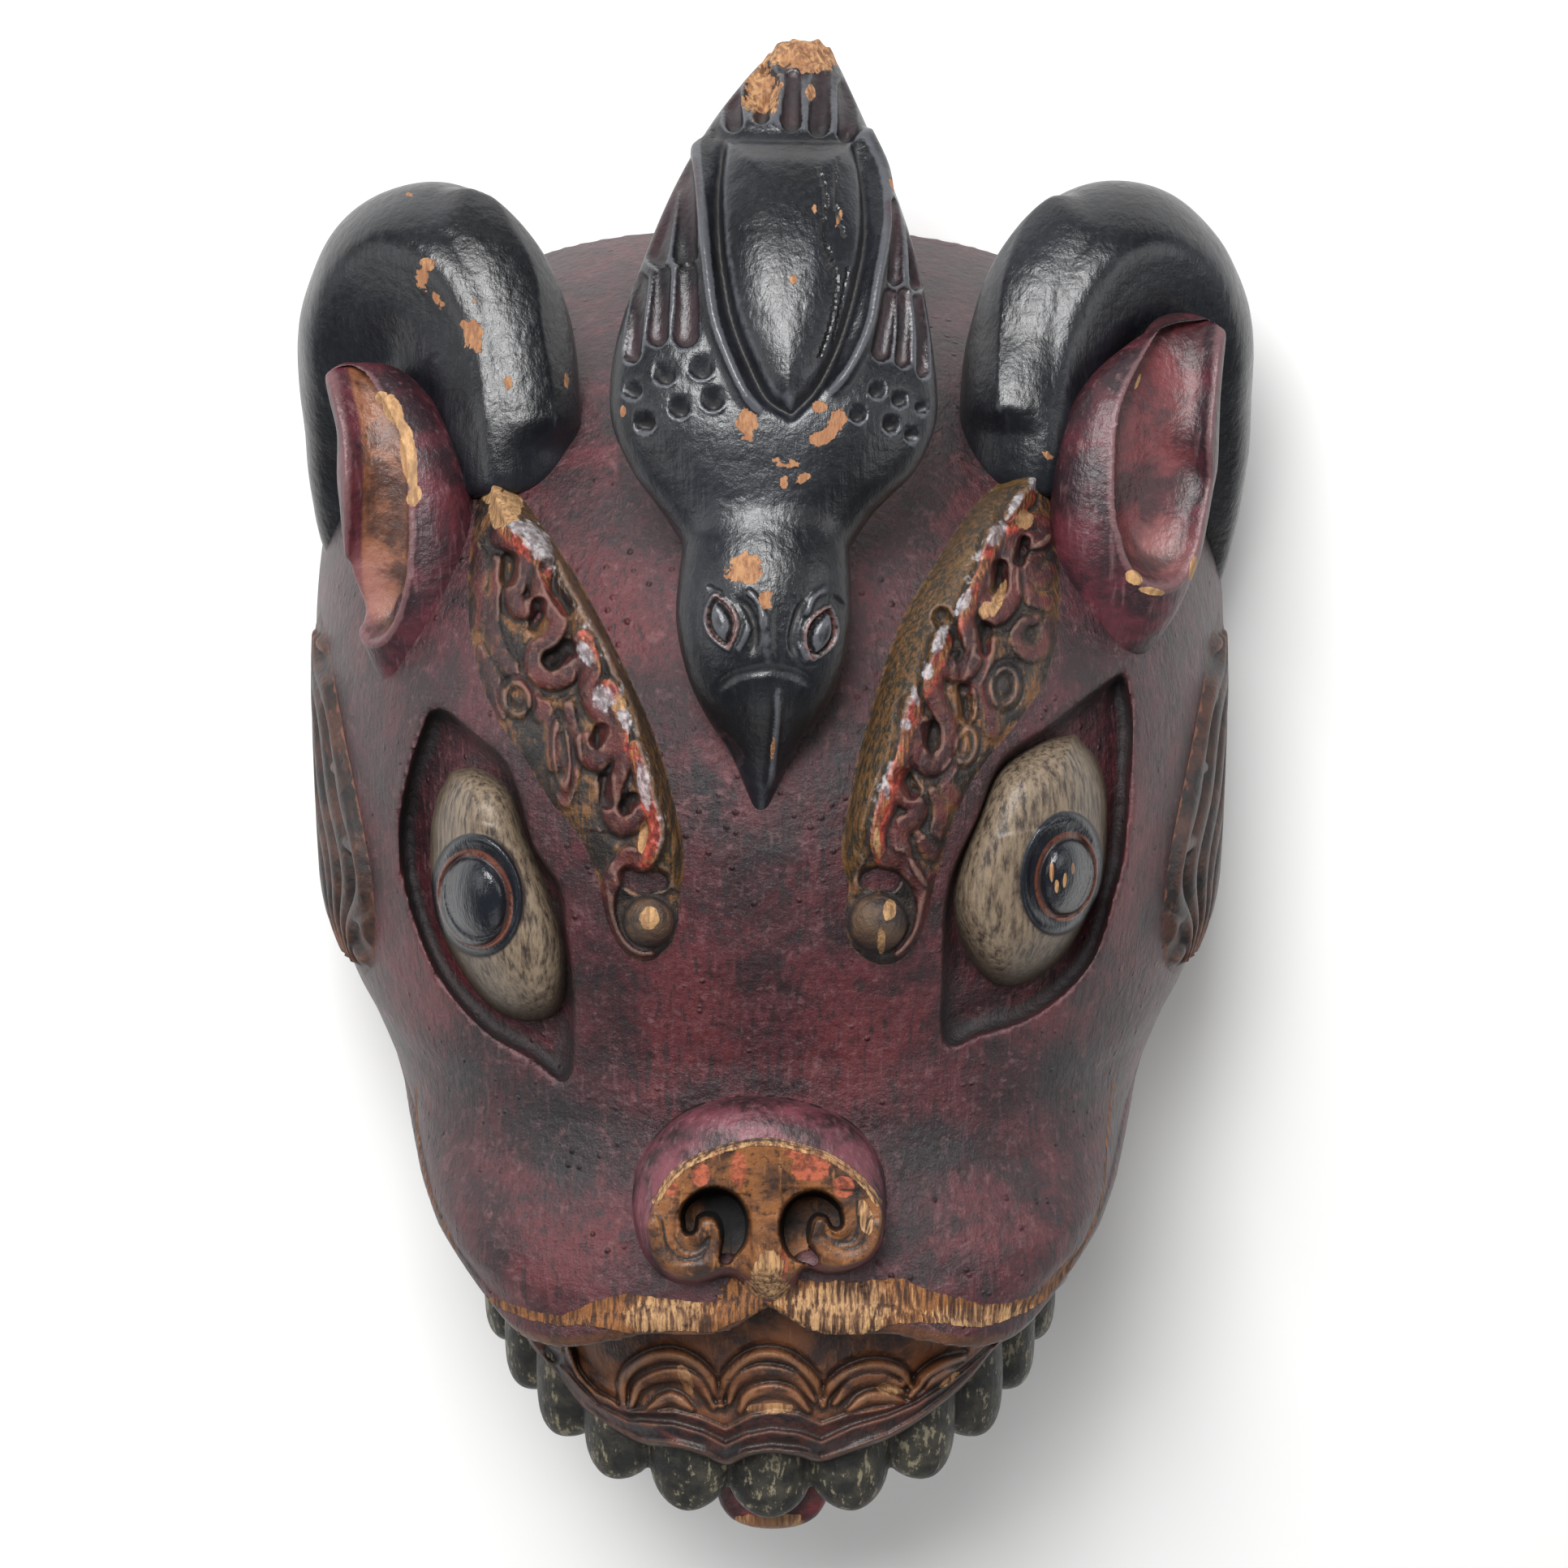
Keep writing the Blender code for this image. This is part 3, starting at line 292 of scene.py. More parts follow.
class Skin:
    """The places, directions and neighbours of a dense piece, on the carver's grid."""

    def __init__(self, obj):
        self.obj = obj
        mesh = obj.data
        count = len(mesh.vertices)
        self.p = np.empty(count * 3, np.float64)
        mesh.vertices.foreach_get("co", self.p)
        self.p = self.p.reshape(-1, 3) * 1000 - GRID_ORIGIN
        pairs = np.empty(len(mesh.edges) * 2, np.int64)
        mesh.edges.foreach_get("vertices", pairs)
        self.a, self.b = pairs.reshape(-1, 2).T
        self.links = np.maximum(np.bincount(self.a, minlength=count) + np.bincount(self.b, minlength=count),
                                1)

    def soften(self, values, times, share=0.5):
        """Values that move towards the mean of their neighbours."""
        values = np.array(values, float)
        flat = values.reshape(len(values), -1)
        count = len(flat)
        for _ in range(times):
            total = np.empty_like(flat)
            for k in range(flat.shape[1]):
                total[:, k] = (np.bincount(self.a, flat[self.b, k], count)
                               + np.bincount(self.b, flat[self.a, k], count))
            flat += share * (total / self.links[:, None] - flat)
        return flat.reshape(values.shape)

    def place(self):
        self.obj.data.vertices.foreach_set("co", ((self.p + GRID_ORIGIN) / 1000).ravel())
        self.obj.data.update()

    def out(self):
        n = np.empty(len(self.p) * 3, np.float64)
        self.obj.data.vertex_normals.foreach_get("vector", n)
        return n.reshape(-1, 3)

    def keep(self, name, values):
        """Stores a number for each point, which the finish reads."""
        layer = self.obj.data.attributes.new(name, "FLOAT", "POINT")
        layer.data.foreach_set("value", np.ascontiguousarray(values, np.float32))

    def keep_hollow_and_proud(self, reach=3.0):
        """How hollow and how proud each point lies, over a short and a long reach."""
        n = self.out()
        spacing = np.median(np.linalg.norm(self.p[self.a] - self.p[self.b], axis=1))
        times = int(min(60, max(3, (reach / spacing) ** 2)))
        level = self.soften(self.p, times)
        lie = ((level - self.p) * n).sum(1) / reach
        wide = self.soften(level, int(min(140, times * 4)))
        lie_wide = ((wide - self.p) * n).sum(1) / (reach * 2)
        lie = self.soften(lie, 1)
        self.keep("hollow", np.clip(lie * 6, 0, 1))
        self.keep("proud", np.clip(-lie * 6, 0, 1))
        self.keep("deep", np.clip(lie_wide * 4, 0, 1))


def active(obj):
    bpy.ops.object.select_all(action="DESELECT")
    obj.select_set(True)
    bpy.context.view_layer.objects.active = obj


def loft(name, rings):
    """Closed form through rings of points: a ball whose circles are moved to their places."""
    rings = np.asarray(rings, float)
    count, around = rings.shape[:2]
    bpy.ops.object.select_all(action="DESELECT")
    bpy.ops.mesh.primitive_uv_sphere_add(segments=around, ring_count=count + 1)
    obj = bpy.context.object
    obj.name = name
    obj.data.name = name
    co = np.empty(len(obj.data.vertices) * 3)
    obj.data.vertices.foreach_get("co", co)
    co = co.reshape(-1, 3)
    down = np.rint(np.arccos(np.clip(co[:, 2], -1, 1)) / math.pi * (count + 1)).astype(int)
    turn = np.arctan2(co[:, 1], co[:, 0]) / (2 * math.pi) * around
    body = (down > 0) & (down <= count)
    first = turn[body][0]
    k = np.rint(turn - first).astype(int) % around
    out = np.empty_like(co)
    out[body] = rings[down[body] - 1, k[body]]
    out[down == 0] = rings[0].mean(0)
    out[down == count + 1] = rings[-1].mean(0)
    obj.data.vertices.foreach_set("co", ((out + GRID_ORIGIN) / 1000).ravel())
    bm = bmesh.new()
    bm.from_mesh(obj.data)
    bmesh.ops.recalc_face_normals(bm, faces=bm.faces[:])
    bm.to_mesh(obj.data)
    bm.free()
    return obj


def bar(name, path, normals, half, top, profile, sink=5.0):
    """Strip along a path: profile gives (share of half width, share of top) across it."""
    ahead = unit(np.gradient(path, axis=0))
    across = unit(np.cross(normals, ahead))
    half = np.broadcast_to(half, len(path))
    top = np.broadcast_to(top, len(path))
    rings = []
    for p, n, a, h, t in zip(path, normals, across, half, top):
        rings.append([p + a * h * u + n * (t * v if v >= 0 else v * sink) for u, v in profile])
    return loft(name, rings)


def round_profile(count):
    ring = [(math.cos(a), math.sin(a)) for a in np.linspace(math.pi, 0, count)]
    return [(-1, -1)] + ring + [(1, -1)]


def join(name, parts):
    bpy.ops.object.select_all(action="DESELECT")
    for part in parts:
        part.select_set(True)
    bpy.context.view_layer.objects.active = parts[0]
    if len(parts) > 1:
        bpy.ops.object.join()
    parts[0].name = name
    parts[0].data.name = name
    return parts[0]


def use(obj, kind, **settings):
    """Adds one modifier and applies it."""
    active(obj)
    modifier = obj.modifiers.new(kind.lower(), kind)
    for key, value in settings.items():
        setattr(modifier, key, value)
    bpy.ops.object.modifier_apply(modifier=modifier.name)


def fuse(name, parts, grain, soften=2):
    """One skin over joined forms, with facets of about the grain, in millimetres."""
    obj = join(name, parts)
    use(obj, "REMESH", mode="VOXEL", voxel_size=grain / 1000, use_smooth_shade=True)
    skin = Skin(obj)
    skin.p = skin.soften(skin.p, soften)
    skin.place()
    return obj


def thin_out(obj, faces):
    """Fewer triangles where the form is plain."""
    count = sum(len(p.vertices) - 2 for p in obj.data.polygons)
    if count > faces:
        use(obj, "DECIMATE", decimate_type="COLLAPSE", ratio=faces / count, use_collapse_triangulate=True)


def patch(name, outline, step, rise, carry=carried, way=towards_camera, sink=5.0, margin=7.0):
    """Slab of wood inside an outline drawn on what carries it, raised point by point over it."""
    outline = np.asarray(outline, float)
    low = outline.min(0) - margin - step
    high = outline.max(0) + margin + step
    counts = np.ceil((high - low) / step).astype(int)
    bpy.ops.object.select_all(action="DESELECT")
    bpy.ops.mesh.primitive_grid_add(x_subdivisions=int(counts[0]), y_subdivisions=int(counts[1]), size=2)
    obj = bpy.context.object
    obj.name = name
    obj.data.name = name
    co = np.empty(len(obj.data.vertices) * 3)
    obj.data.vertices.foreach_get("co", co)
    co = co.reshape(-1, 3)
    places = low + (co[:, :2] * (1, -1) + 1) / 2 * (high - low)
    inner = within(places, outline)
    keep = inner > -margin
    p, n = carry(places)
    height = rise(places, inner)
    height = np.where(inner < 0, np.minimum(height, 0) + inner * 0.3, height)
    raised = p + way(p, n) * height[:, None]
    obj.data.vertices.foreach_set("co", ((raised + GRID_ORIGIN) / 1000).ravel())
    bm = bmesh.new()
    bm.from_mesh(obj.data)
    bm.verts.ensure_lookup_table()
    inward = bm.verts.layers.float_vector.new("inward")
    for i in np.flatnonzero(keep):
        bm.verts[i][inward] = -n[i]
    bmesh.ops.delete(bm, geom=[bm.verts[i] for i in np.flatnonzero(~keep)], context="VERTS")
    bmesh.ops.delete(bm, geom=[v for v in bm.verts if not v.link_faces], context="VERTS")
    edges = [e for e in bm.edges if len(e.link_faces) == 1]
    made = bmesh.ops.extrude_edge_only(bm, edges=edges)["geom"]
    for v in made:
        if isinstance(v, bmesh.types.BMVert):
            v.co += v[inward] * sink / 1000
    bmesh.ops.holes_fill(bm, edges=[e for e in bm.edges if len(e.link_faces) == 1], sides=0)
    bmesh.ops.triangulate(bm, faces=[f for f in bm.faces if len(f.verts) > 4])
    bmesh.ops.recalc_face_normals(bm, faces=bm.faces[:])
    bm.to_mesh(obj.data)
    bm.free()
    obj.data.attributes.remove(obj.data.attributes["inward"])
    return obj


def section_rings(section, heights, arc, inset_side=0.0, inset_front=0.0, squareness=0.0, back=-20.0):
    """Rings of a form across the given heights, open towards the back rim."""
    turn = np.linspace(0, math.pi, arc)
    rings = []
    for y in heights:
        half, depth, n = section(np.float64(y))
        half, depth, n = half - inset_side, depth - inset_front, n - squareness
        c, s = np.cos(turn), np.sin(turn)
        x = half * np.sign(c) * np.abs(c) ** (2 / n)
        z = depth * np.abs(s) ** (2 / n)
        z[0], z[-1] = 0, 0
        ring = np.stack([x, np.full(arc, y), z], 1)
        rings.append(np.vstack([[half, y, back], ring, [-half, y, back]]))
    return np.array(rings)


def lip_line(x, z):
    bowed = np.clip((z - LIP_BOW_START) / LIP_BOW_REACH, 0, 1)
    return blend(LIP_BACK_TO_FRONT, z) + blend(LIP_BOW, np.abs(x)) * bowed


# Marks on the face, in dots of the picture
SOCKETS = {LEFT: ((528, 875), (505, 943), (491, 1030), (505, 1116), (539, 1202), (597, 1271), (654, 1305),
                  (701, 1334), (709, 1248), (699, 1150), (690, 1092), (660, 1047), (643, 989), (625, 938),
                  (585, 903), (548, 872)),
           RIGHT: ((1386, 825), (1396, 883), (1394, 945), (1386, 1049), (1373, 1103), (1352, 1173),
                   (1319, 1219), (1269, 1256), (1207, 1277), (1162, 1289), (1160, 1200), (1163, 1123),
                   (1174, 1069), (1203, 1007), (1232, 937), (1290, 895), (1332, 862), (1362, 840))}
EYEBALLS = {LEFT: ((557, 952), (540, 985), (532, 1030), (537, 1121), (566, 1190), (608, 1242), (654, 1258),
                   (691, 1240), (697, 1173), (676, 1098), (648, 1030), (628, 975), (590, 948)),
            RIGHT: ((1323, 905), (1352, 940), (1364, 995), (1359, 1082), (1344, 1120), (1311, 1175),
                    (1269, 1208), (1228, 1213), (1196, 1181), (1175, 1123), (1182, 1070), (1206, 1007),
                    (1232, 950), (1282, 915))}
PUPILS = {LEFT: ((588, 1103), (56, 76), (584, 1110), (41, 55), -8),
          RIGHT: ((1308, 1076), (50, 77), (1314, 1080), (33, 48), 10)}
LIP_BAND = ((575, 1572), (600, 1597), (650, 1613), (690, 1622), (735, 1602), (770, 1592), (800, 1597),
            (840, 1602), (869, 1605), (893, 1600), (906, 1580), (920, 1560), (950, 1552), (972, 1572),
            (990, 1582), (1030, 1583), (1060, 1582), (1100, 1578), (1119, 1572), (1127, 1583), (1150, 1592),
            (1185, 1597), (1209, 1608), (1240, 1606), (1270, 1598), (1300, 1570), (1330, 1535),
            (1321, 1564), (1290, 1600), (1261, 1620), (1224, 1633), (1197, 1636), (1160, 1631),
            (1123, 1630), (1091, 1636), (1050, 1648), (1022, 1648), (990, 1636), (967, 1622), (950, 1612),
            (930, 1620), (907, 1630), (880, 1643), (843, 1640), (774, 1643), (728, 1634), (690, 1634),
            (650, 1626), (610, 1610), (580, 1588))
LIP_FRESH = (((825, 1620), (50, 30), 0), ((1040, 1615), (75, 40), 0), ((1215, 1625), (70, 18), 0))
WARM = (((840, 1230), (80, 130), 0), ((700, 1540), (110, 70), -20), ((1060, 1260), (80, 90), 0),
        ((1225, 1520), (110, 90), 0), ((905, 1390), (120, 40), 0), ((1210, 640), (60, 110), 20),
        ((745, 730), (50, 120), -30), ((1388, 1000), (18, 170), 0), ((1290, 1240), (90, 40), -30),
        ((540, 1200), (80, 60), 40), ((1440, 560), (40, 120), 0))
SOOTY = (((690, 1390), (120, 90), 20), ((1150, 1400), (70, 60), 0), ((880, 980), (40, 90), -10),
         ((1030, 1000), (40, 90), 10), ((760, 560), (50, 110), 0), ((1170, 560), (40, 90), 0),
         ((590, 1330), (60, 60), 30), ((1320, 1330), (60, 70), 0), ((965, 1060), (60, 50), 0),
         ((640, 1480), (60, 40), 0))


def chips(skin, spots, strokes=()):
    """Field over a piece, above a half where the paint is off down to the wood."""
    px = seen(skin.p)
    field = np.zeros(len(px))
    for place, half, turn in spots:
        field = np.maximum(field, 1.0 - 0.5 * oval(px, place, half, turn))
    for points, half in strokes:
        line = curve(points, 4 * len(points))
        d, share = near(px, line)
        width = np.interp(share, np.linspace(0, 1, np.size(half)), np.atleast_1d(half))
        field = np.maximum(field, 1.0 - 0.5 * d / width)
    return np.where(skin.out()[:, 2] > -0.3, field, 0)


def make_head():
    """Head with its sockets, mouth side, jaw and hollow, from one block."""
    share = np.linspace(0, 1, 64)
    heights = HEAD_LOW + (CROWN - 0.02 - HEAD_LOW) * np.sin(share * math.pi / 2)
    head = loft("mask_head", section_rings(head_section, heights, 91))

    across = np.linspace(-150, 150, 101)
    rows = []
    for z in np.linspace(-30, 200, 47):
        top = np.stack([across, lip_line(across, np.full(101, z)), np.full(101, z)], 1)
        low = np.stack([across[::-1], np.full(101, -200.0), np.full(101, z)], 1)
        rows.append(np.vstack([top, low]))
    mouth_side = loft("mouth_side", rows)

    heights = np.concatenate([np.linspace(-10, -140, 27), [-146, -151, -155, -159, -162, -165, -167, -168]])
    jaw = loft("jaw", section_rings(jaw_section, heights, 61))

    side_top = CROWN - SIDE_WALL - ROOF_GAP
    low = CHIN + SIDE_WALL + ROOF_GAP

    def inner(y):
        raised = CROWN - (CROWN - y) * (CROWN + 60) / (side_top + 60)
        above = head_section(raised if y > -60 else np.float64(y))
        below = jaw_section(np.float64(CHIN + (y - low) * (CHIN + 10) / (low + 10)) if y < -10 else y)
        mix = np.clip((y + 10) / 50, 0, 1)
        return [j * (1 - mix) + h * mix for h, j in zip(above, below)]

    share = np.linspace(0, 1, 41)
    heights = low + (side_top - 0.5 - low) * (0.5 - 0.5 * np.cos(share * math.pi))
    hollow = loft("hollow", section_rings(inner, heights, 41, SIDE_WALL, FACE_WALL, 0.35, back=-40.0))
    corners = ((-200, -260), (200, -260), (200, 300), (-200, 300))
    back = loft("back_plane", [[(x, y, z) for x, y in corners] for z in (-60.0, 0.0)])

    sockets = []
    for side in (LEFT, RIGHT):
        edge = curve(SOCKETS[side] + SOCKETS[side][:1], 73)[:-1]
        middle = np.mean(EYEBALLS[side], 0)
        rings = []
        for share, lift in ((1.03, 9.0), (1.0, 0.8), (0.985, -3.0), (0.95, -7.0), (0.87, -9.0), (0.5, -9.5)):
            p, n = carried(middle + (edge - middle) * share)
            rings.append(p + towards_camera(p, n) * lift)
        sockets.append(loft("socket", rings))
    for tool in [mouth_side, *sockets, jaw, hollow, back]:
        use(head, "BOOLEAN", operation="UNION" if tool == jaw else "DIFFERENCE", object=tool, solver="EXACT")
        bpy.data.objects.remove(tool)
    use(head, "REMESH", mode="VOXEL", voxel_size=0.00115, use_smooth_shade=True)
    skin = Skin(head)
    skin.p = skin.soften(skin.p, 2)

    lip = skin.p[:, 1] - lip_line(skin.p[:, 0], skin.p[:, 2])
    shell = fullness(head_section, skin.p)
    outer = (shell > 0.985) & (skin.p[:, 1] < 20)
    roll = np.clip(1 - np.abs(lip - 4.5) / 4.5, 0, 1) ** 0.5 * outer * ease(skin.p[:, 2], 60, 110)
    skin.p += normal_of(head_section, skin.p) * (roll * 1.2)[:, None]
    skin.p[:, 2] = np.maximum(skin.p[:, 2], 0)
    under_snout = ease(within(seen(skin.p), curve(SNOUT_FACE, 60)), 6, 22) * (skin.p[:, 2] > 165) * (lip > 4)
    skin.p -= normal_of(head_section, skin.p) * (under_snout * 10)[:, None]
    skin.place()
    thin_out(head, 190000)

    skin = Skin(head)
    px = seen(skin.p)
    inside = 1 - ease(np.minimum(fullness(head_section, skin.p), 2), 0.895, 0.925)
    jaw_in = 1 - ease(np.minimum(fullness(jaw_section, skin.p), 2), 0.88, 0.92)
    lip = skin.p[:, 1] - lip_line(skin.p[:, 0], skin.p[:, 2])
    below = ease(-lip, 0.5, 2.0)
    skin.keep("inside", np.maximum(inside * (1 - below), jaw_in * below))
    skin.keep("mouth_zone", np.maximum(below, ease(-lip, -5.5, -3.5) * ease(-np.abs(skin.p[:, 0]), -80, -66)))
    band = within(px, LIP_BAND) / 8
    strokes = (((1372, 1330), (1364, 1400), (1357, 1480), (1330, 1545)), 1.6), \
              (((512, 1335), (515, 1400), (530, 1470), (562, 1540)), 1.5)
    field = chips(skin, (((1140, 1525), (3, 6), -30),), strokes)
    front = (skin.p[:, 2] > 60) & (below < 0.9)
    skin.keep("bare", np.where(front, np.maximum(field, 0.5 + 0.5 * np.clip(band, -1, 1)), 0))
    skin.keep("fresh", chips(skin, LIP_FRESH))
    skin.keep("warm", chips(skin, WARM) * front)
    skin.keep("sooty", chips(skin, SOOTY) * front)
    # Painted shade around the eye sockets: a band on either side of their rims.
    socket_shade = np.zeros(len(px))
    for outline in list(SOCKETS.values()):
        socket_shade = np.maximum(socket_shade, 1 - np.abs(within(px, outline)) / 30)
    skin.keep("socket_shade", np.where(skin.p[:, 2] > 20, np.clip(socket_shade, 0, 1), 0))
    skin.keep_hollow_and_proud(3.0)
    return head


def make_eye(side):
    """Almond eyeball with a ringed pupil, on the floor of its socket."""
    outline = curve(EYEBALLS[side] + EYEBALLS[side][:1], 61)[:-1]
    ring_at, ring_half, ball_at, ball_half, turn = PUPILS[side]

    def rise(places, inner):
        d = np.clip(inner, 0, None)
        height = -9.0 + 15.5 * np.sqrt(1 - (1 - np.clip(d / 62, 0, 1)) ** 2)
        r = oval(places, ring_at, ring_half, turn)
        b = oval(places, ball_at, ball_half, turn)
        floor = 0.5 * (height.max() - 1.0 + height)
        disc = (1 - ease(r, 0.96, 1.04)) * ease(inner, -1, 4)
        level = (floor + 1.6 * np.sqrt(np.clip(1 - ((r - 0.86) / 0.16) ** 2, 0, 1))
                 - 0.8 * ease(1 - r, 0.1, 0.25))
        level = level + 5.4 * np.sqrt(np.clip(1 - b ** 2, 0, 1))
        level = level + 0.7 * np.exp(-((b - 1.1) / 0.05) ** 2)
        height = height * (1 - disc) + np.maximum(height, level) * disc
        return height

    def rise_out(places, inner):
        height = rise(places, inner)
        return np.where(inner < 0, -9.0 + inner * 0.1, height)

    tag = "left" if side == LEFT else "right"
    obj = patch("eye_" + tag, outline, 1.6, rise_out, sink=6.0, margin=5.0)
    skin = Skin(obj)
    skin.p = skin.soften(skin.p, 1, 0.4)
    skin.place()
    px = seen(skin.p)
    skin.keep("ring", oval(px, ring_at, ring_half, turn))
    skin.keep("ball", oval(px, ball_at, ball_half, turn))
    middle = np.mean(EYEBALLS[side], 0)
    # Painted shade: the white darker towards its rim and below its middle.
    edge = 1 - np.clip(within(px, outline) / 45, 0, 1)
    skin.keep("eye_shade", 0.5 * edge ** 2 + 0.35 * np.clip((px[:, 1] - middle[1]) / 150, 0, 1))
    if side == RIGHT:
        spots = (((1296, 1075), (3, 13), 0), ((1312, 1085), (2.5, 10), 5), ((1302, 1092), (3, 9), 0),
                 ((1322, 1070), (2, 8), 0))
    else:
        spots = ()
    skin.keep("bare", chips(skin, spots))
    skin.keep_hollow_and_proud(2.0)
    return obj


# Brows: outline, edge of the crest, curled ribbons, small curls and knobs, in dots of the picture
BROWS = {LEFT: {"foot": ((598, 577), (612, 580), (640, 610), (665, 642), (715, 718), (760, 803), (798, 885),
                         (822, 955), (841, 1035), (843, 1075), (838, 1100)),
                "face": ((836, 1135), (826, 1165), (800, 1184), (772, 1176), (750, 1140), (736, 1085),
                         (712, 1030), (676, 985), (645, 935), (612, 885), (590, 830), (577, 760),
                         (577, 700), (583, 650), (588, 605)),
                "crest": ((601, 583), (622, 640), (664, 680), (694, 722), (722, 765), (748, 812),
                          (768, 862), (787, 920), (803, 975), (815, 1025), (806, 1062)),
                "ribbons": (((618, 662), (634, 668), (647, 686), (644, 712), (633, 733), (640, 750),
                             (652, 748)),
                            ((668, 690), (666, 730), (681, 750), (688, 770), (677, 790), (662, 798),
                             (657, 819), (674, 838), (696, 834), (706, 818)),
                            ((718, 790), (728, 822), (725, 850), (733, 872), (747, 890), (750, 916),
                             (739, 938), (725, 932), (721, 914)),
                            ((748, 850), (760, 881), (763, 915), (766, 944), (757, 970), (753, 996),
                             (763, 1018), (780, 1012), (787, 1000)),
                            ((784, 925), (796, 960), (801, 990), (810, 1019), (803, 1049), (786, 1064),
                             (772, 1058)),
                            ((776, 1056), (757, 1078), (748, 1109), (752, 1138), (772, 1166), (800, 1176))),
                "gouges": (((676, 700), (688, 730), (700, 748), 9), ((680, 812), (694, 806), (700, 800), 9),
                           ((735, 912), (741, 900), 7), ((771, 995), (779, 985), 7),
                           ((628, 690), (626, 712), 8), ((664, 745), (660, 772), 7),
                           ((745, 960), (748, 990), 6), ((775, 1080), (790, 1088), (812, 1084), 10)),
                "curls": (((612, 690), (610, 730), (606, 770), (620, 812), (650, 846), (668, 880)),
                          ((586, 672), (592, 694), (590, 716)), ((588, 722), (594, 744), (590, 766)),
                          ((590, 800), (602, 826), (612, 860), (612, 880)),
                          ((672, 866), (680, 900), (684, 940)),
                          ((700, 870), (706, 910), (704, 950), (694, 985))),
                "rings": (((637, 861), (17, 22), -10), ((692, 930), (11, 42), -5)),
                "knob": ((799, 1136), 31)},
         RIGHT: {"foot": ((1290, 566), (1262, 574), (1235, 592), (1200, 622), (1155, 688), (1110, 764),
                          (1082, 843), (1062, 912), (1048, 974), (1037, 1040), (1038, 1068), (1046, 1092)),
                 "face": ((1040, 1130), (1048, 1166), (1078, 1188), (1108, 1184), (1134, 1152),
                          (1146, 1110), (1160, 1060), (1172, 1020), (1192, 975), (1222, 930), (1262, 880),
                          (1292, 830), (1306, 760), (1305, 690), (1300, 630), (1298, 590)),
                 "crest": ((1288, 572), (1248, 633), (1224, 656), (1198, 704), (1186, 738), (1162, 786),
                           (1140, 828), (1122, 864), (1109, 900), (1098, 940), (1084, 982), (1073, 1020),
                           (1072, 1052)),
                 "ribbons": (((1262, 612), (1247, 634), (1262, 646), (1277, 643), (1288, 652), (1281, 664),
                              (1270, 664)),
                             ((1250, 655), (1243, 688), (1246, 716), (1246, 738), (1232, 757), (1220, 757),
                              (1215, 742)),
                             ((1226, 660), (1218, 700), (1206, 725), (1193, 752), (1192, 780), (1200, 803),
                              (1191, 824), (1175, 828), (1160, 815)),
                             ((1160, 790), (1152, 830), (1150, 853), (1158, 874), (1169, 896), (1166, 925),
                              (1150, 945), (1136, 938), (1130, 915), (1134, 893)),
                             ((1124, 868), (1122, 905), (1114, 936), (1103, 962), (1113, 982), (1130, 993),
                              (1125, 1010), (1110, 1018)),
                             ((1096, 975), (1088, 1005), (1083, 1035), (1092, 1058), (1104, 1062)),
                             ((1106, 1030), (1114, 1062), (1132, 1088), (1138, 1116), (1130, 1150),
                              (1108, 1174))),
                 "gouges": (((1232, 700), (1232, 722), 8), ((1174, 790), (1166, 772), (1160, 760), 9),
                            ((1148, 915), (1146, 898), 8), ((1124, 975), (1112, 956), 8),
                            ((1262, 668), (1256, 690), 6), ((1214, 775), (1212, 800), 7),
                            ((1188, 850), (1190, 880), 7), ((1094, 1084), (1072, 1082), 11)),
                 "curls": (((1293, 664), (1279, 680), (1272, 698), (1282, 714), (1294, 702)),
                           ((1262, 690), (1262, 715), (1272, 736), (1290, 742)),
                           ((1276, 762), (1258, 770), (1254, 790), (1271, 806), (1289, 790), (1291, 770)),
                           ((1222, 790), (1214, 820), (1212, 850), (1220, 878), (1224, 900)),
                           ((1204, 800), (1200, 830), (1196, 850)),
                           ((1150, 975), (1160, 1002), (1156, 1026)),
                           ((1176, 940), (1166, 962), (1176, 984), (1190, 990)),
                           ((1132, 1030), (1146, 1048), (1154, 1052)),
                           ((1128, 1064), (1142, 1080), (1154, 1082))),
                 "rings": (((1238, 846), (18, 26), 8), ((1191, 919), (13, 24), 8), ((1198, 868), (6, 20), 0)),
                 "knob": ((1082, 1137), 36)}}


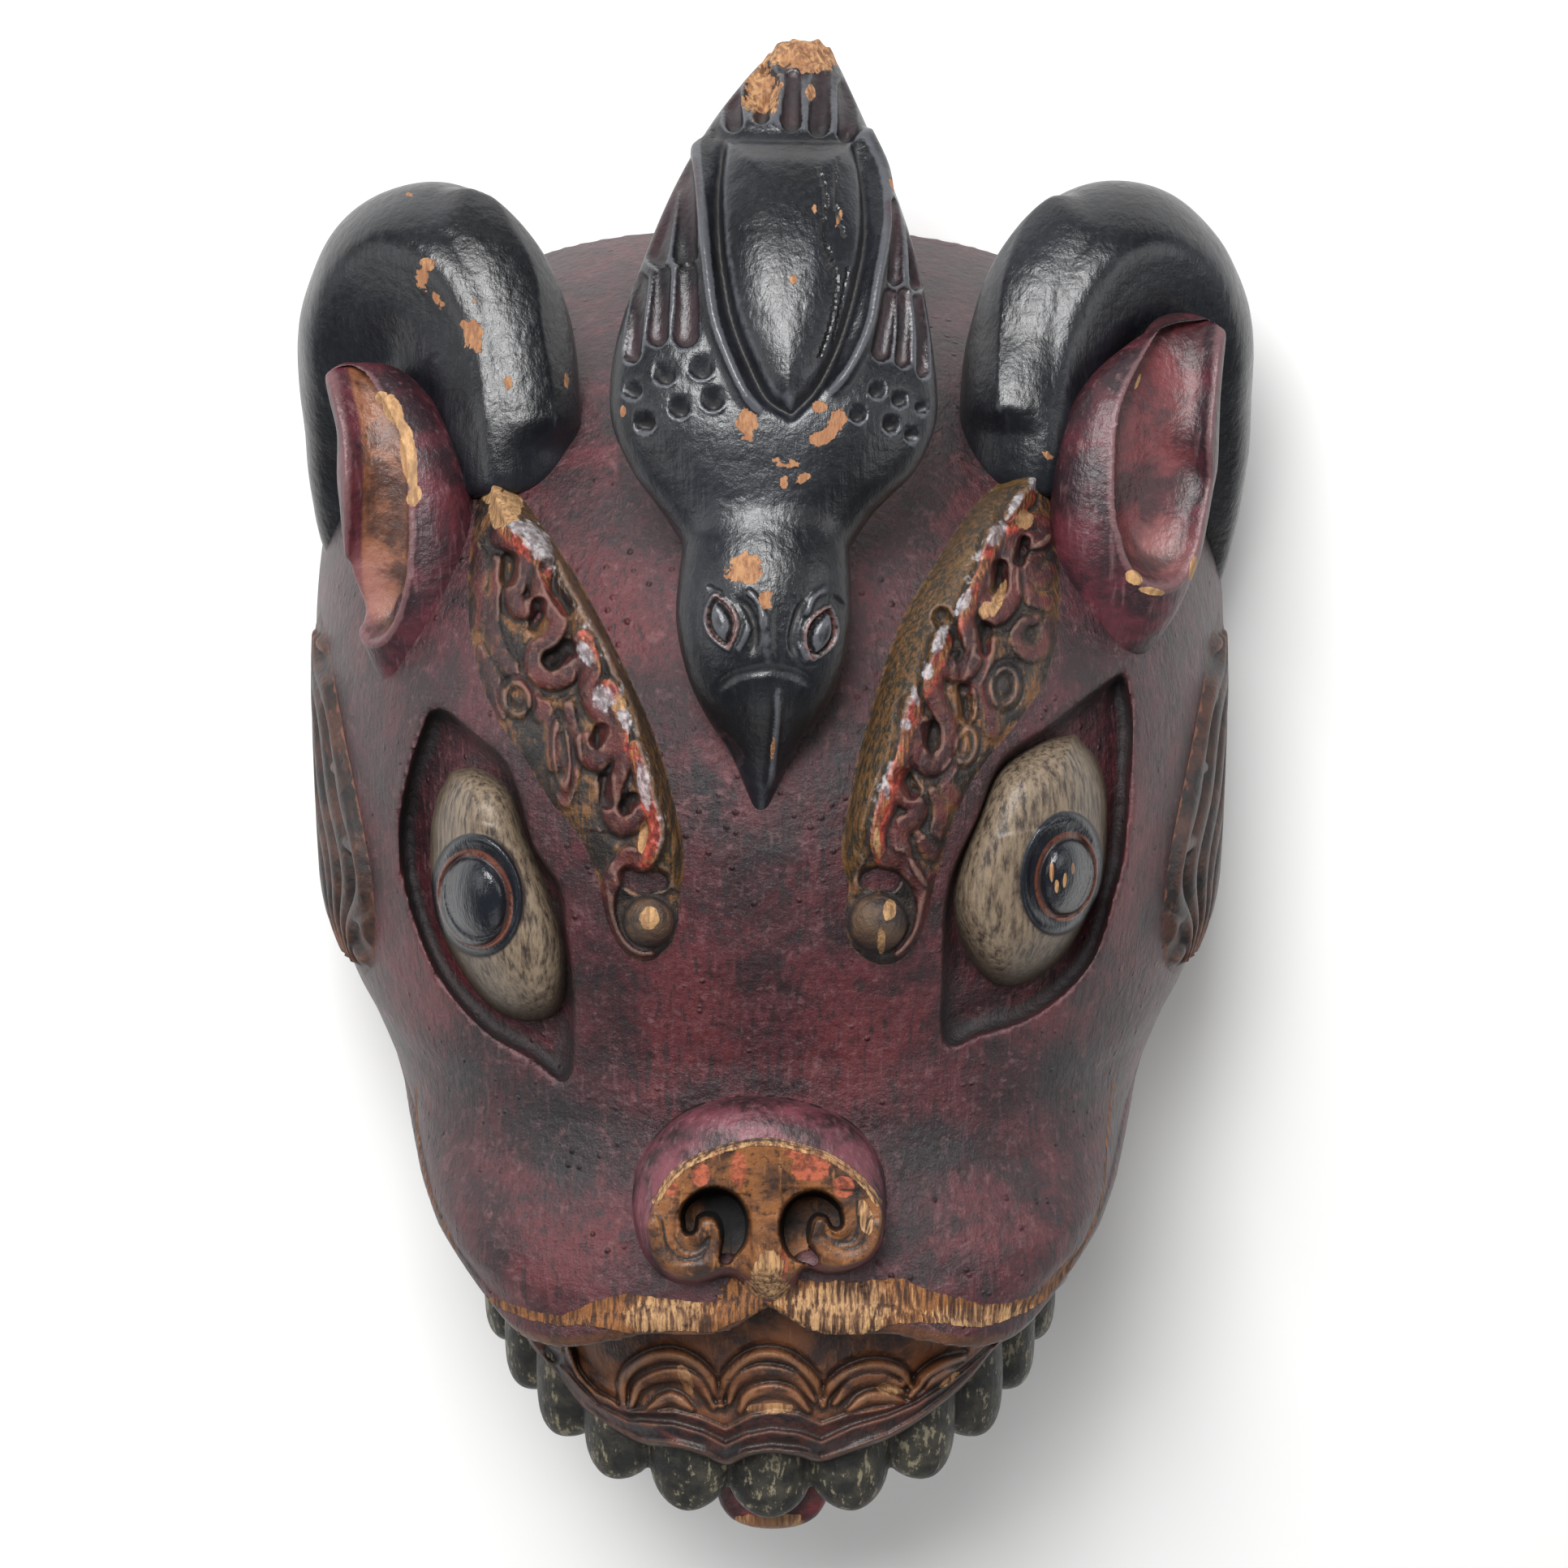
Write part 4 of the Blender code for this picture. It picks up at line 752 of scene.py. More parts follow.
def make_brow(side):
    """Flame brow: a wall on its nose side, a plate that falls to the eye, and curled ribbons over it."""
    marks = BROWS[side]
    tag = "left" if side == LEFT else "right"
    foot = curve(marks["foot"], 50)
    face = curve(marks["face"], 60)
    crest = curve(marks["crest"], 50)
    outline = np.vstack([foot, face])
    knob_at, knob_half = marks["knob"]

    def shape(places):
        to_foot = near(places, foot)[0]
        to_face = near(places, face)[0]
        to_crest, along = near(places, crest)
        wall = within(places, np.vstack([foot, crest[::-1]])) > 0
        top = 11.5 * blend(((0, 0.35), (0.06, 0.75), (0.2, 1), (0.8, 1), (0.93, 0.85), (1, 0.5)), along)
        t = np.where(wall, to_foot / (to_foot + to_crest + 1e-6), to_face / (to_face + to_crest + 1e-6))
        up_wall = blend(((0, 0), (0.35, 0.5), (0.75, 0.88), (1, 0.97)), t)
        down_plate = blend(((0, 0), (0.12, 0.16), (0.45, 0.36), (0.8, 0.62), (0.95, 0.86), (1, 0.97)), t)
        low = ease(places[:, 1], 1085, 1110)
        ground = top * np.where(wall, up_wall, down_plate) * (1 - low) + 1.0 * low
        relief = Relief(places)
        relief.height = ground.copy()
        lines = np.zeros(len(places))
        for *points, half in marks["gouges"]:
            relief.stroke(points, half * 1.5, -4.2, 0.9)
        beside = Relief(places)
        for points in marks["ribbons"][:-1]:
            beside.stroke([(x - 2 * side, y + 6) for x, y in points], 21, -2.0, 0.8)
        relief.height += np.maximum(beside.height, -2.4)
        cut = relief.height.copy()
        for points in marks["curls"]:
            spots, amount = relief.ridge(points, np.array([8, 13, 13]), 1.7, cut)
            lines[spots] = np.maximum(lines[spots], amount * 0.25)
        for (x, y), half, turn in marks["rings"]:
            r = oval(places, (x, y), half, turn)
            relief.height += 1.3 * np.exp(-((r - 0.85) / 0.22) ** 2) - 0.9 * np.exp(-((r - 1.25) / 0.12) ** 2)
            relief.height += 1.0 * np.clip(1 - (r / 0.5) ** 2, 0, 1) ** 0.5
        base = relief.height.copy()
        for i, points in enumerate(marks["ribbons"]):
            last = i == len(marks["ribbons"]) - 1
            half = np.array([15, 14, 12, 13, 14]) if not last else np.array([15, 13, 11, 9, 8])
            spots, amount = relief.ridge(points, half, 3.6, np.minimum(base, 9.5), 30)
            lines[spots] = np.maximum(lines[spots], amount)
        r = np.linalg.norm(places - np.array(knob_at), axis=1) / knob_half
        ball = 1.5 + 8.5 * np.sqrt(np.clip(1 - r ** 2, 0, 1))
        relief.height = np.where(r < 1, np.maximum(relief.height * (1 - low), ball), relief.height)
        relief.height -= 1.5 * np.exp(-((r - 1.12) / 0.09) ** 2) * (relief.height > 1.5)
        return relief.height, lines, wall & (r > 1), r

    obj = patch("brow_" + tag, outline, 2.0, lambda places, inner: shape(places)[0] * ease(inner, -1, 9),
                sink=4.0, margin=6.0)
    skin = Skin(obj)
    skin.p = skin.soften(skin.p, 1, 0.5)
    skin.place()
    px = seen(skin.p)
    lines, wall, knob = shape(px)[1:]
    skin.keep("ribbon", lines)
    skin.keep("wall", skin.soften(wall.astype(float), 2))
    skin.keep("knob", knob)
    skin.keep("crest", 1 - np.clip(near(px, crest)[0] / 22, 0, 1))
    # Chips of bare wood, then patches of painted highlight on the ribbons near the crest.
    if side == LEFT:
        spots = (((606, 600), (13, 22), 10), ((622, 628), (20, 26), 30), ((792, 1032), (6, 22), 8),
                 ((800, 1132), (12, 15), 0), ((766, 866), (5, 10), -20), ((758, 872), (5, 5), 0))
        crest_highlight = (((640, 648), (16, 8), 30), ((664, 668), (12, 26), -25), ((722, 806), (8, 16), -30),
                ((744, 862), (12, 16), -20), ((768, 884), (6, 14), -20), ((792, 968), (6, 24), -12))
    else:
        spots = (((1230, 738), (7, 26), 22), ((1214, 752), (8, 12), 20), ((1262, 640), (12, 12), 0),
                 ((1086, 1160), (5, 18), 0), ((1096, 1122), (8, 14), 10), ((1080, 1035), (4, 16), 0))
        crest_highlight = (((1284, 582), (12, 15), 20), ((1252, 618), (5, 12), 30), ((1228, 660), (8, 12), 20),
                ((1188, 742), (6, 14), 30), ((1158, 788), (6, 14), 20), ((1144, 828), (6, 8), 0),
                ((1128, 858), (3, 12), -20), ((1116, 893), (6, 6), 0), ((1092, 972), (3, 12), -10))
    skin.keep("bare", chips(skin, spots))
    # Painted highlight: the pale patches, and a band along the crest.
    field = chips(skin, crest_highlight)
    along_crest = 1 - np.clip(near(px, crest)[0] / 16, 0, 1)
    skin.keep("crest_highlight", np.clip(field * 1.3 - 0.3, 0, 1) + 0.25 * along_crest)
    skin.keep_hollow_and_proud(1.6)
    return obj


# Snout: foot and upper edge of its face, the nostril gouges and the curls in them
SNOUT_FOOT = ((782, 1444), (795, 1415), (818, 1388), (852, 1364), (900, 1351), (950, 1350), (1000, 1360),
              (1045, 1380), (1075, 1412), (1090, 1450), (1091, 1500), (1086, 1530), (1072, 1552),
              (1048, 1566), (1016, 1570), (990, 1562), (982, 1578), (975, 1596), (952, 1606), (926, 1598),
              (910, 1576), (890, 1574), (862, 1582), (832, 1580), (806, 1562), (788, 1532), (779, 1490))
SNOUT_FACE = ((797, 1512), (808, 1480), (827, 1452), (855, 1430), (900, 1413), (945, 1407), (990, 1415),
              (1030, 1431), (1063, 1457), (1082, 1482), (1088, 1508), (1080, 1538), (1056, 1556),
              (1026, 1562), (1002, 1556), (980, 1570), (950, 1600), (918, 1572), (893, 1562), (862, 1575),
              (832, 1572), (808, 1552))
NOSTRILS = (((850, 1512), (852, 1494), (868, 1483), (888, 1484), (902, 1500), (904, 1524), (894, 1550)),
            ((1030, 1506), (1024, 1492), (1006, 1484), (988, 1492), (980, 1512), (984, 1536), (1002, 1552)))
VOLUTES = (((800, 1510), (808, 1545), (836, 1568), (866, 1564), (884, 1545), (886, 1522), (872, 1512),
            (858, 1522)),
           ((1084, 1512), (1076, 1540), (1052, 1555), (1024, 1550), (1004, 1530), (1006, 1512),
            (1022, 1504), (1036, 1514)))


def make_snout():
    foot = curve(SNOUT_FOOT + SNOUT_FOOT[:1], 110)[:-1]
    face = curve(SNOUT_FACE + SNOUT_FACE[:1], 110)[:-1]

    def shape(places):
        to_foot = np.abs(within(places, foot))
        in_face = within(places, face)
        t = np.where(in_face > 0, 1, to_foot / (to_foot + np.abs(in_face) + 1e-6))
        top = 16.3 + (1488 - places[:, 1]) / 5 * 0.18
        top = np.where(places[:, 1] > 1560, top * (1 - ease(places[:, 1], 1560, 1606) * 0.75), top)
        wall = blend(((0, 0), (0.12, 0.4), (0.5, 0.74), (0.9, 0.93), (1, 0.97)), t)
        height = top * wall + 1.4 * ease(in_face, -2, 3) - 0.5
        relief = Relief(places)
        relief.height = height
        middle = np.abs(places[:, 0] - 944)
        relief.height -= 1.6 * ease(places[:, 1], 1440, 1475) * np.exp(-((middle - 34) / 16) ** 2)
        for points in NOSTRILS:
            relief.stroke(points, np.array([10, 15, 19, 21, 20, 16, 8]), -24.0, 0.3, 40)
        relief.height = np.maximum(relief.height, np.minimum(height, -6.0))
        for points in VOLUTES:
            spots = relief.close_to(points, 40)
            d, share = near(places[spots], curve(points, 50))
            width = np.interp(share, (0, 0.45, 0.8, 1), (15, 16, 12, 11))
            lump = 1.6 * np.clip(1 - (d / width) ** 2, 0, 1) ** 0.6 - 0.9 * share
            relief.height[spots] += lump * (relief.height[spots] > 8)
        return relief.height, in_face

    obj = patch("snout", foot, 1.7, lambda places, inner: shape(places)[0] * ease(inner, -1, 4), sink=4.0,
                margin=5.0)
    skin = Skin(obj)
    skin.p = skin.soften(skin.p, 1, 0.5)
    skin.place()
    px = seen(skin.p)
    height, in_face = shape(px)
    skin.keep("face", in_face / 5)
    lift = np.linalg.norm(skin.p - carried(px)[0], axis=1)
    skin.keep("lift", lift)
    edge = curve(SNOUT_FACE[1:10], 60)
    pits = Relief(px)
    for points in NOSTRILS:
        pits.stroke(points, np.array([8, 13, 17, 19, 18, 14, 6]), 1.0, 0.4, 40)
    skin.keep("pit", np.clip(pits.height, 0, 1))
    spots = (((945, 1570), (22, 30), 0), ((1066, 1500), (10, 22), -10), ((930, 1590), (20, 14), 0),
             ((962, 1592), (18, 12), 0))
    skin.keep("bare", np.maximum(chips(skin, spots), 0.94 - 0.5 * near(px, edge)[0] / 6))
    reds = (((1000, 1436), (26, 20), 0), ((864, 1448), (12, 14), 0), ((910, 1440), (10, 24), 0),
            ((1040, 1462), (14, 14), 30), ((985, 1420), (20, 8), 0), ((965, 1560), (6, 22), 0),
            ((828, 1466), (8, 10), 0), ((880, 1420), (14, 6), -20))
    skin.keep("red", chips(skin, reds))
    skin.keep_hollow_and_proud(2.0)
    return obj


def mouth_frame(along, y):
    """Point and outward direction on the jaw, a number of millimetres round from its middle."""
    half, depth, n = jaw_section(np.float64(y))
    turn = np.linspace(math.pi / 2, 0.02, 60)
    arc = np.stack([half * np.cos(turn) ** (2 / n), np.full(60, float(y)), depth * np.sin(turn) ** (2 / n)],
                   1)
    arc[0, 0] = 0
    gone = np.concatenate([[0], np.cumsum(np.linalg.norm(np.diff(arc, axis=0), axis=1))])
    p = np.array([np.interp(abs(along), gone, arc[:, k]) for k in range(3)])
    p[0] *= np.sign(along)
    return p, normal_of(jaw_section, p)


def along_jaw(points, count):
    spots = [mouth_frame(u, y) for u, y in curve(points, count)]
    return np.array([p for p, n in spots]), np.array([n for p, n in spots])


# Gums: their outline on the jaw, three lines of the band that hides the roots of the teeth, and the arches
GUM_OUTLINE = ((640, 1560), (1270, 1560), (1266, 1610), (1246, 1642), (1224, 1666), (1200, 1696),
               (1168, 1726), (1132, 1753), (1095, 1774), (1052, 1790), (1012, 1803), (985, 1796),
               (950, 1791), (920, 1796), (894, 1808), (868, 1796), (835, 1786), (790, 1781), (750, 1762),
               (715, 1734), (688, 1700), (664, 1670), (646, 1640))
BAND_LINES = (((640, 1640), (700, 1668), (712, 1700), (735, 1722), (778, 1738), (830, 1738), (862, 1746),
               (894, 1760), (925, 1744), (955, 1738), (985, 1742), (1012, 1754), (1045, 1742), (1085, 1735),
               (1120, 1726), (1150, 1706), (1180, 1685), (1205, 1664), (1270, 1610)),
              ((640, 1660), (690, 1682), (735, 1732), (775, 1752), (830, 1755), (865, 1765), (894, 1780),
               (920, 1768), (950, 1762), (985, 1766), (1012, 1776), (1050, 1758), (1095, 1745),
               (1130, 1730), (1160, 1710), (1190, 1688), (1215, 1664), (1270, 1620)),
              ((640, 1670), (680, 1694), (715, 1728), (750, 1756), (790, 1775), (835, 1780), (868, 1789),
               (894, 1803), (920, 1790), (950, 1785), (985, 1789), (1012, 1798), (1052, 1784), (1095, 1768),
               (1130, 1748), (1165, 1722), (1195, 1694), (1220, 1664), (1270, 1630)))
ARCHES = (((768, 1736), (770, 1697), (801, 1673), (838, 1671), (870, 1692), (890, 1732)),
          ((887, 1732), (893, 1702), (916, 1677), (944, 1668), (976, 1676), (1004, 1702), (1014, 1732)),
          ((1014, 1730), (1022, 1710), (1045, 1691), (1077, 1682), (1109, 1690), (1126, 1712)),
          ((1122, 1720), (1137, 1697), (1160, 1681), (1186, 1673)),
          ((700, 1662), (706, 1690), (728, 1718), (766, 1738)))
INNER_ARCHES = (((778, 1732), (790, 1706), (826, 1693), (858, 1702), (880, 1734)),
                ((898, 1728), (908, 1702), (928, 1691), (950, 1690), (978, 1697), (1004, 1726)),
                ((912, 1738), (922, 1720), (950, 1712), (978, 1718), (996, 1738)),
                ((1028, 1730), (1052, 1705), (1084, 1698), (1112, 1706)),
                ((1140, 1716), (1160, 1697), (1176, 1690)),
                ((1046, 1738), (1070, 1722), (1096, 1722), (1112, 1728)),
                ((800, 1736), (826, 1722), (852, 1736)))


def make_gums():
    """Double arches of the gums and the scalloped band under them, in relief on the jaw."""
    def shape(places):
        x, y = places.T
        first, second, third = [y - np.interp(x, *np.array(line, float).T) for line in BAND_LINES]
        relief = Relief(places)
        relief.height += 3.2 + 2.6 * ease(first, -34, 0)
        for points in ARCHES:
            relief.stroke([(a, b - 9) for a, b in points], 9, -1.1, 1.0)
        ground = relief.height.copy()
        for points in ARCHES:
            relief.ridge(points, np.array([4, 7, 8, 8, 7, 4]), 2.6, ground)
        for points in INNER_ARCHES:
            relief.ridge(points, np.array([4, 8, 9, 8, 4]), 1.9, ground)
        arches = relief.height - ground
        above = ease(-first, -1, 3)
        relief.height = ground + arches * above
        relief.height += 1.5 * ease(first, -2, 2) + 1.5 * ease(second, -2, 2) + 0.9 * ease(third, -6, 1)
        dent = np.sin(math.pi * np.clip(first / np.maximum(first - second, 1), 0, 1))
        dent = dent + np.sin(math.pi * np.clip(second / np.maximum(second - third, 1), 0, 1))
        relief.height -= 0.8 * dent
        return relief.height, first

    obj = patch("gums", curve(GUM_OUTLINE + GUM_OUTLINE[:1], 130)[:-1], 2.0,
                lambda places, inner: shape(places)[0] * ease(inner, -1, 3),
                lambda places: carried(places, jaw_section), sink=5.0, margin=4.0)
    skin = Skin(obj)
    skin.p = skin.soften(skin.p, 1, 0.4)
    skin.place()
    px = seen(skin.p)
    skin.keep("band", ease(shape(px)[1], -2, 3))
    spots = (((950, 1735), (30, 7), 0), ((845, 1700), (7, 20), -20), ((1095, 1712), (16, 8), 10),
             ((1170, 1700), (16, 4), -40))
    skin.keep("bare", chips(skin, spots))
    skin.keep_hollow_and_proud(1.8)
    return obj


TOOTH_PITCH = 22.5


def make_teeth():
    parts = []
    turn = np.linspace(0, 2 * math.pi, 24, endpoint=False)
    for i in range(-6, 7):
        reach = abs(i)
        drop = -161 + 2.2 * min(reach, 1) + 5.2 * max(reach - 1, 0)
        base, n = mouth_frame(TOOTH_PITCH * i, -143 + 4.4 * reach)
        n = unit(n * (1, 0.15, 1))
        across = unit(np.cross((0, 1.0, 0), n))
        rings = []
        length = base[1] - drop
        wide = TOOTH_PITCH * 0.53 * (1 - 0.02 * reach)
        for share in np.linspace(0.8, -1.0, 22):
            grow = blend(((-1.0, 0.06), (-0.97, 0.26), (-0.88, 0.55), (-0.7, 0.82), (-0.45, 0.96),
                          (-0.1, 1.0), (0.4, 0.97), (0.8, 0.82)), share)
            centre = base + np.array([0, length * share, 0]) - n * 1.5
            rings.append(centre + np.cos(turn)[:, None] * across * wide * grow
                         + np.sin(turn)[:, None] * n * 9.5 * grow ** 0.6)
        parts.append(loft("tooth", rings))
    obj = fuse("teeth", parts, 0.85, 2)
    thin_out(obj, 74000)
    skin = Skin(obj)
    skin.keep("bare", np.zeros(len(skin.p)))
    skin.keep_hollow_and_proud(2.5)
    return obj


def make_lower_lip():
    path, normals = along_jaw([(x, -163 + 0.0016 * x * x) for x in np.linspace(-118, 118, 11)], 90)
    lip = bar("lower_lip", path, normals, 4.0, 5.0, round_profile(11))
    turn = np.linspace(0, 2 * math.pi, 36, endpoint=False)
    rings = []
    table = ((-146, 118, 1.1, 9), (-152, 124, 1.09, 9), (-158, 130, 1.05, 9), (-163, 133, 0.99, 8.7),
             (-167, 135, 0.9, 8), (-169.5, 136, 0.79, 7), (-171, 136.5, 0.66, 5.5), (-172, 136.5, 0.52, 4.4),
             (-172.4, 136.5, 0.36, 2.7))
    for y, z, grow, thick in table:
        rings.append(np.stack([0.8 + 16.5 * grow * np.cos(turn), np.full(36, float(y)),
                               z - 4 + thick * np.sin(turn)], 1))
    tongue = loft("tongue", rings)
    obj = fuse("tongue_and_lip", [lip, tongue], 0.95, 2)
    skin = Skin(obj)
    px = seen(skin.p)
    band = 0.5 + 0.5 * np.clip((px[:, 1] - 1866) / 12, -1, 1)
    skin.keep("bare", np.where(np.abs(px[:, 0] - 948) < 42, band, 0))
    skin.keep_hollow_and_proud(2.5)
    return obj


HORN_RIDGES = {LEFT: ((540, 222), (591, 247), (626, 299), (649, 344), (657, 402), (671, 488), (678, 560)),
               RIGHT: ((1330, 230), (1281, 276), (1253, 333), (1241, 402), (1238, 470), (1240, 540))}


def make_horn(side):
    """Curled horn: up from the temple, over, and down outside the ear."""
    tag = "left" if side == LEFT else "right"
    spine = np.array([(-66, 122, 112), (-68, 138, 108), (-71, 155, 98), (-77, 168, 91), (-87, 175, 84),
                      (-98, 168, 76), (-106, 150, 68), (-112, 124, 60), (-116, 101, 53), (-118, 82, 47),
                      (-119, 70, 43)], float)
    if side == RIGHT:
        spine = spine * (-1, 1, 1) + np.outer(np.linspace(0, 1, 11), (5.6, 1.0, 0))
    count = 130
    path = curve(spine, count)
    share = np.linspace(0, 1, count)
    radius = 24.0 * blend(((0, 0.78), (0.15, 0.88), (0.38, 1), (0.5, 0.96), (0.66, 0.72), (0.85, 0.4),
                           (0.97, 0.14), (1, 0.03)), share)
    hub = np.array([side * 93.0, 132.0, 60.0])
    ahead = unit(np.gradient(path, axis=0))
    out = path - hub
    out = unit(out - ahead * np.sum(out * ahead, 1)[:, None])
    front = np.cross(ahead, out)
    front *= np.sign(front[:, 2])[:, None]
    table = ((0, 0.97), (38, 1.02), (62, 0.95), (90, 0.95), (120, 1.0), (150, 1.05), (185, 1.05), (220, 1.03),
             (255, 0.97), (290, 0.95), (325, 0.96), (360, 0.97))
    angles = np.linspace(0, 360, 90, endpoint=False)
    form = blend(table, angles)
    form = (form + 0.07 * np.exp(-(np.abs(angles - 40) / 11) ** 1.2)
            + 0.03 * np.exp(-((angles - 112) / 9) ** 2))
    turn = np.radians(angles)
    rings = []
    for p, r, o, f in zip(path, radius, out, front):
        rings.append(p + r * form[:, None] * (np.cos(turn)[:, None] * o + np.sin(turn)[:, None] * f))
    web_out = unit(np.array([side * 0.66, 0.12, 0.74]))
    web_up = unit(np.array([0, 1.0, 0]) - web_out * web_out[1])
    web_across = np.cross(web_out, web_up)
    round_turn = np.linspace(0, 2 * math.pi, 48, endpoint=False)[:, None]
    web = []
    for angle in np.linspace(-80, 80, 17):
        wide, high = math.cos(math.radians(angle)), math.sin(math.radians(angle))
        web.append(np.array([side * 82.0, 141.0, 92.0]) + web_out * 17.0 * high
                   + 27.0 * wide * np.cos(round_turn) * web_across
                   + 40.0 * wide * np.sin(round_turn) * web_up)
    obj = fuse("horn_" + tag, [loft("horn", rings), loft("web", web)], 0.9, 60)
    skin = Skin(obj)
    n = skin.out()
    rough = np.array([noise.noise(Vector(p * 0.05)) for p in skin.p])
    to_ridge, share = near(seen(skin.p), curve(HORN_RIDGES[side], 40))
    ridge = 4.2 * np.clip(1 - to_ridge / 60, 0, 1) ** 1.1 * ease(share, 0, 0.12) * ease(1 - share, 0, 0.12)
    skin.p += n * (rough * 0.6 + ridge * ease(n[:, 2], 0.0, 0.3))[:, None]
    skin.p[:, 2] = np.maximum(skin.p[:, 2], 0.5)
    skin.place()
    thin_out(obj, 50000)
    skin = Skin(obj)
    if side == LEFT:
        spots = (((520, 345), (8, 14), -10), ((540, 372), (6, 12), -30), ((527, 325), (9, 7), 0),
                 ((586, 412), (12, 18), 10), ((572, 400), (6, 6), 0), ((626, 472), (7, 9), 0),
                 ((386, 650), (4, 8), 0), ((505, 240), (5, 3), 20), ((585, 372), (3, 4), 0),
                 ((698, 470), (3, 10), 0))
    else:
        spots = (((1532, 690), (5, 3), 40), ((1520, 700), (4, 3), 0), ((1290, 560), (8, 3), 30))
    skin.keep("bare", chips(skin, spots))
    skin.keep("fresh", np.zeros(len(skin.p)))
    skin.keep_hollow_and_proud(3.0)
    return obj


EAR_HOLLOWS = {LEFT: ((412, 456), (430, 452), (448, 462), (463, 487), (480, 517), (491, 546), (497, 575),
                      (499, 625), (500, 663), (497, 707), (490, 743), (477, 772), (460, 788), (446, 776),
                      (434, 750), (429, 700), (430, 640), (431, 580), (427, 530), (418, 490)),
               RIGHT: ((1500, 372), (1484, 370), (1458, 386), (1433, 407), (1404, 456), (1384, 505),
                       (1378, 554), (1377, 615), (1384, 660), (1398, 698), (1425, 718), (1451, 712),
                       (1468, 682), (1478, 640), (1488, 590), (1488, 540), (1493, 480), (1498, 430),
                       (1504, 395))}


def make_ear(side):
    """Upright ear with a hollow that faces forward and outward."""
    tag = "left" if side == LEFT else "right"
    if side == LEFT:
        spine = [(-98, 71, 120), (-94, 84, 122), (-93, 104, 121), (-95, 125, 116), (-101, 142, 109),
                 (-113, 152, 101)]
        widths = ((0, 3), (0.12, 12), (0.35, 18), (0.6, 18.5), (0.85, 12), (1, 2.5))
    else:
        spine = [(94, 82, 122), (92.5, 94, 126), (93, 115, 124), (96, 134, 118), (105, 152, 109),
                 (116, 164, 101)]
        widths = ((0, 4), (0.12, 15), (0.35, 22.5), (0.6, 24), (0.85, 14), (1, 2.5))
    facing = unit(np.array([side * 0.50, -0.10, 0.86]))
    path = curve(spine, 90)
    share = np.linspace(0, 1, 90)
    half = blend(widths, share)
    ahead = unit(np.gradient(path, axis=0))
    across = unit(np.cross(facing, ahead))
    front = unit(np.cross(ahead, across))
    turn = np.linspace(0, 2 * math.pi, 64, endpoint=False)
    rings = []
    for p, h, a, f in zip(path, half, across, front):
        d = 15.0 * (h / max(half)) ** 0.6
        rings.append(p + np.cos(turn)[:, None] * a * h + np.sin(turn)[:, None] * f * d)
    obj = fuse("ear_" + tag, [loft("ear", rings)], 0.75, 2)
    skin = Skin(obj)
    px = seen(skin.p)
    outline = curve(EAR_HOLLOWS[side] + EAR_HOLLOWS[side][:1], 70)[:-1]
    inner = within(px, outline)
    faces_out = ease(skin.out() @ facing, -0.1, 0.25)
    bowl = np.sqrt(1 - (1 - np.clip((inner + 2) / 46, 0, 1)) ** 2)
    depth = 13.5 * bowl * faces_out
    rim = 0.8 * np.exp(-((inner + 6) / 6) ** 2) * faces_out
    skin.p += facing * (rim - depth)[:, None]
    skin.p = skin.soften(skin.p, 2)
    skin.place()
    skin.keep("cup", ease(inner, -1, 5) * faces_out)
    if side == LEFT:
        spots = (((484, 505), (12, 22), -22), ((503, 560), (10, 46), -8), ((510, 612), (9, 14), 20),
                 ((470, 490), (8, 8), 0))
        pale = (((458, 735), (30, 60), 0),)
    else:
        spots = (((1398, 712), (12, 9), 30), ((1418, 728), (18, 5), 10), ((1470, 700), (5, 16), 10),
                 ((1496, 372), (10, 3), 0), ((1402, 470), (2, 12), 20))
        pale = (((1432, 680), (44, 40), 0),)
    skin.keep("bare", chips(skin, spots))
    skin.keep("pale", chips(skin, pale))
    skin.keep_hollow_and_proud(2.5)
    return obj


# Bird: stations of its body and head, and its feathers in dots of the picture
LONG_FEATHERS = (((846, 205), (847, 250), (843, 312), 16), ((826, 228), (818, 270), (809, 314), 13),
                 ((846, 332), (846, 380), (844, 412), 17), ((816, 334), (812, 380), (809, 413), 14),
                 ((790, 345), (783, 395), (778, 436), 11),
                 ((1099, 253), (1104, 300), (1104, 342), 10), ((1117, 250), (1126, 300), (1130, 350), 8),
                 ((1098, 364), (1092, 400), (1087, 432), 13), ((1114, 360), (1115, 405), (1113, 443), 10),
                 ((1131, 368), (1137, 415), (1138, 457), 8),
                 ((903, 108), (903, 148), 12), ((939, 118), (938, 142), 10), ((977, 96), (975, 146), 14),
                 ((1012, 92), (1010, 150), 15), ((1042, 106), (1046, 160), 13))
SHORT_FEATHERS = ((779, 480, 13), (819, 461, 15), (864, 453, 16), (794, 520, 14), (837, 503, 14),
                  (878, 493, 15), (1081, 481, 11), (1109, 492, 11), (1136, 502, 9), (1057, 511, 11),
                  (1098, 523, 11), (1123, 536, 9))
BIRD_EYES, BIRD_EYE_HALF = ((889, 766, -14), (1011, 780, 18)), (17, 33)
BACK_RIM = (((860, 165), (862, 215), (867, 275), (873, 340), (881, 395), (897, 441), (918, 485), (940, 512)),
            ((1066, 167), (1084, 205), (1092, 259), (1088, 300), (1080, 345), (1069, 403), (1047, 452),
             (1018, 492)))
BACK_GROOVE = (((892, 170), (884, 230), (886, 300), (893, 350), (903, 396), (922, 445), (945, 490),
                (975, 510)),
               ((1052, 172), (1064, 225), (1066, 291), (1056, 345), (1044, 392), (1026, 440), (1004, 480),
                (975, 510)))


def bird_form():
    return curve([(8.5, 241, 120, 7.5, 0.45), (5.3, 226, 134, 18.7, 0.62), (4, 212, 147, 27, 0.75),
                  (3, 195, 160, 34, 0.92), (1.5, 176, 170, 39, 1.0), (1.5, 160, 177, 40, 1.0),
                  (1.5, 147, 180, 35, 1.0), (0, 136, 182, 26, 1.0), (0, 126, 184, 19, 1.0)], 90)


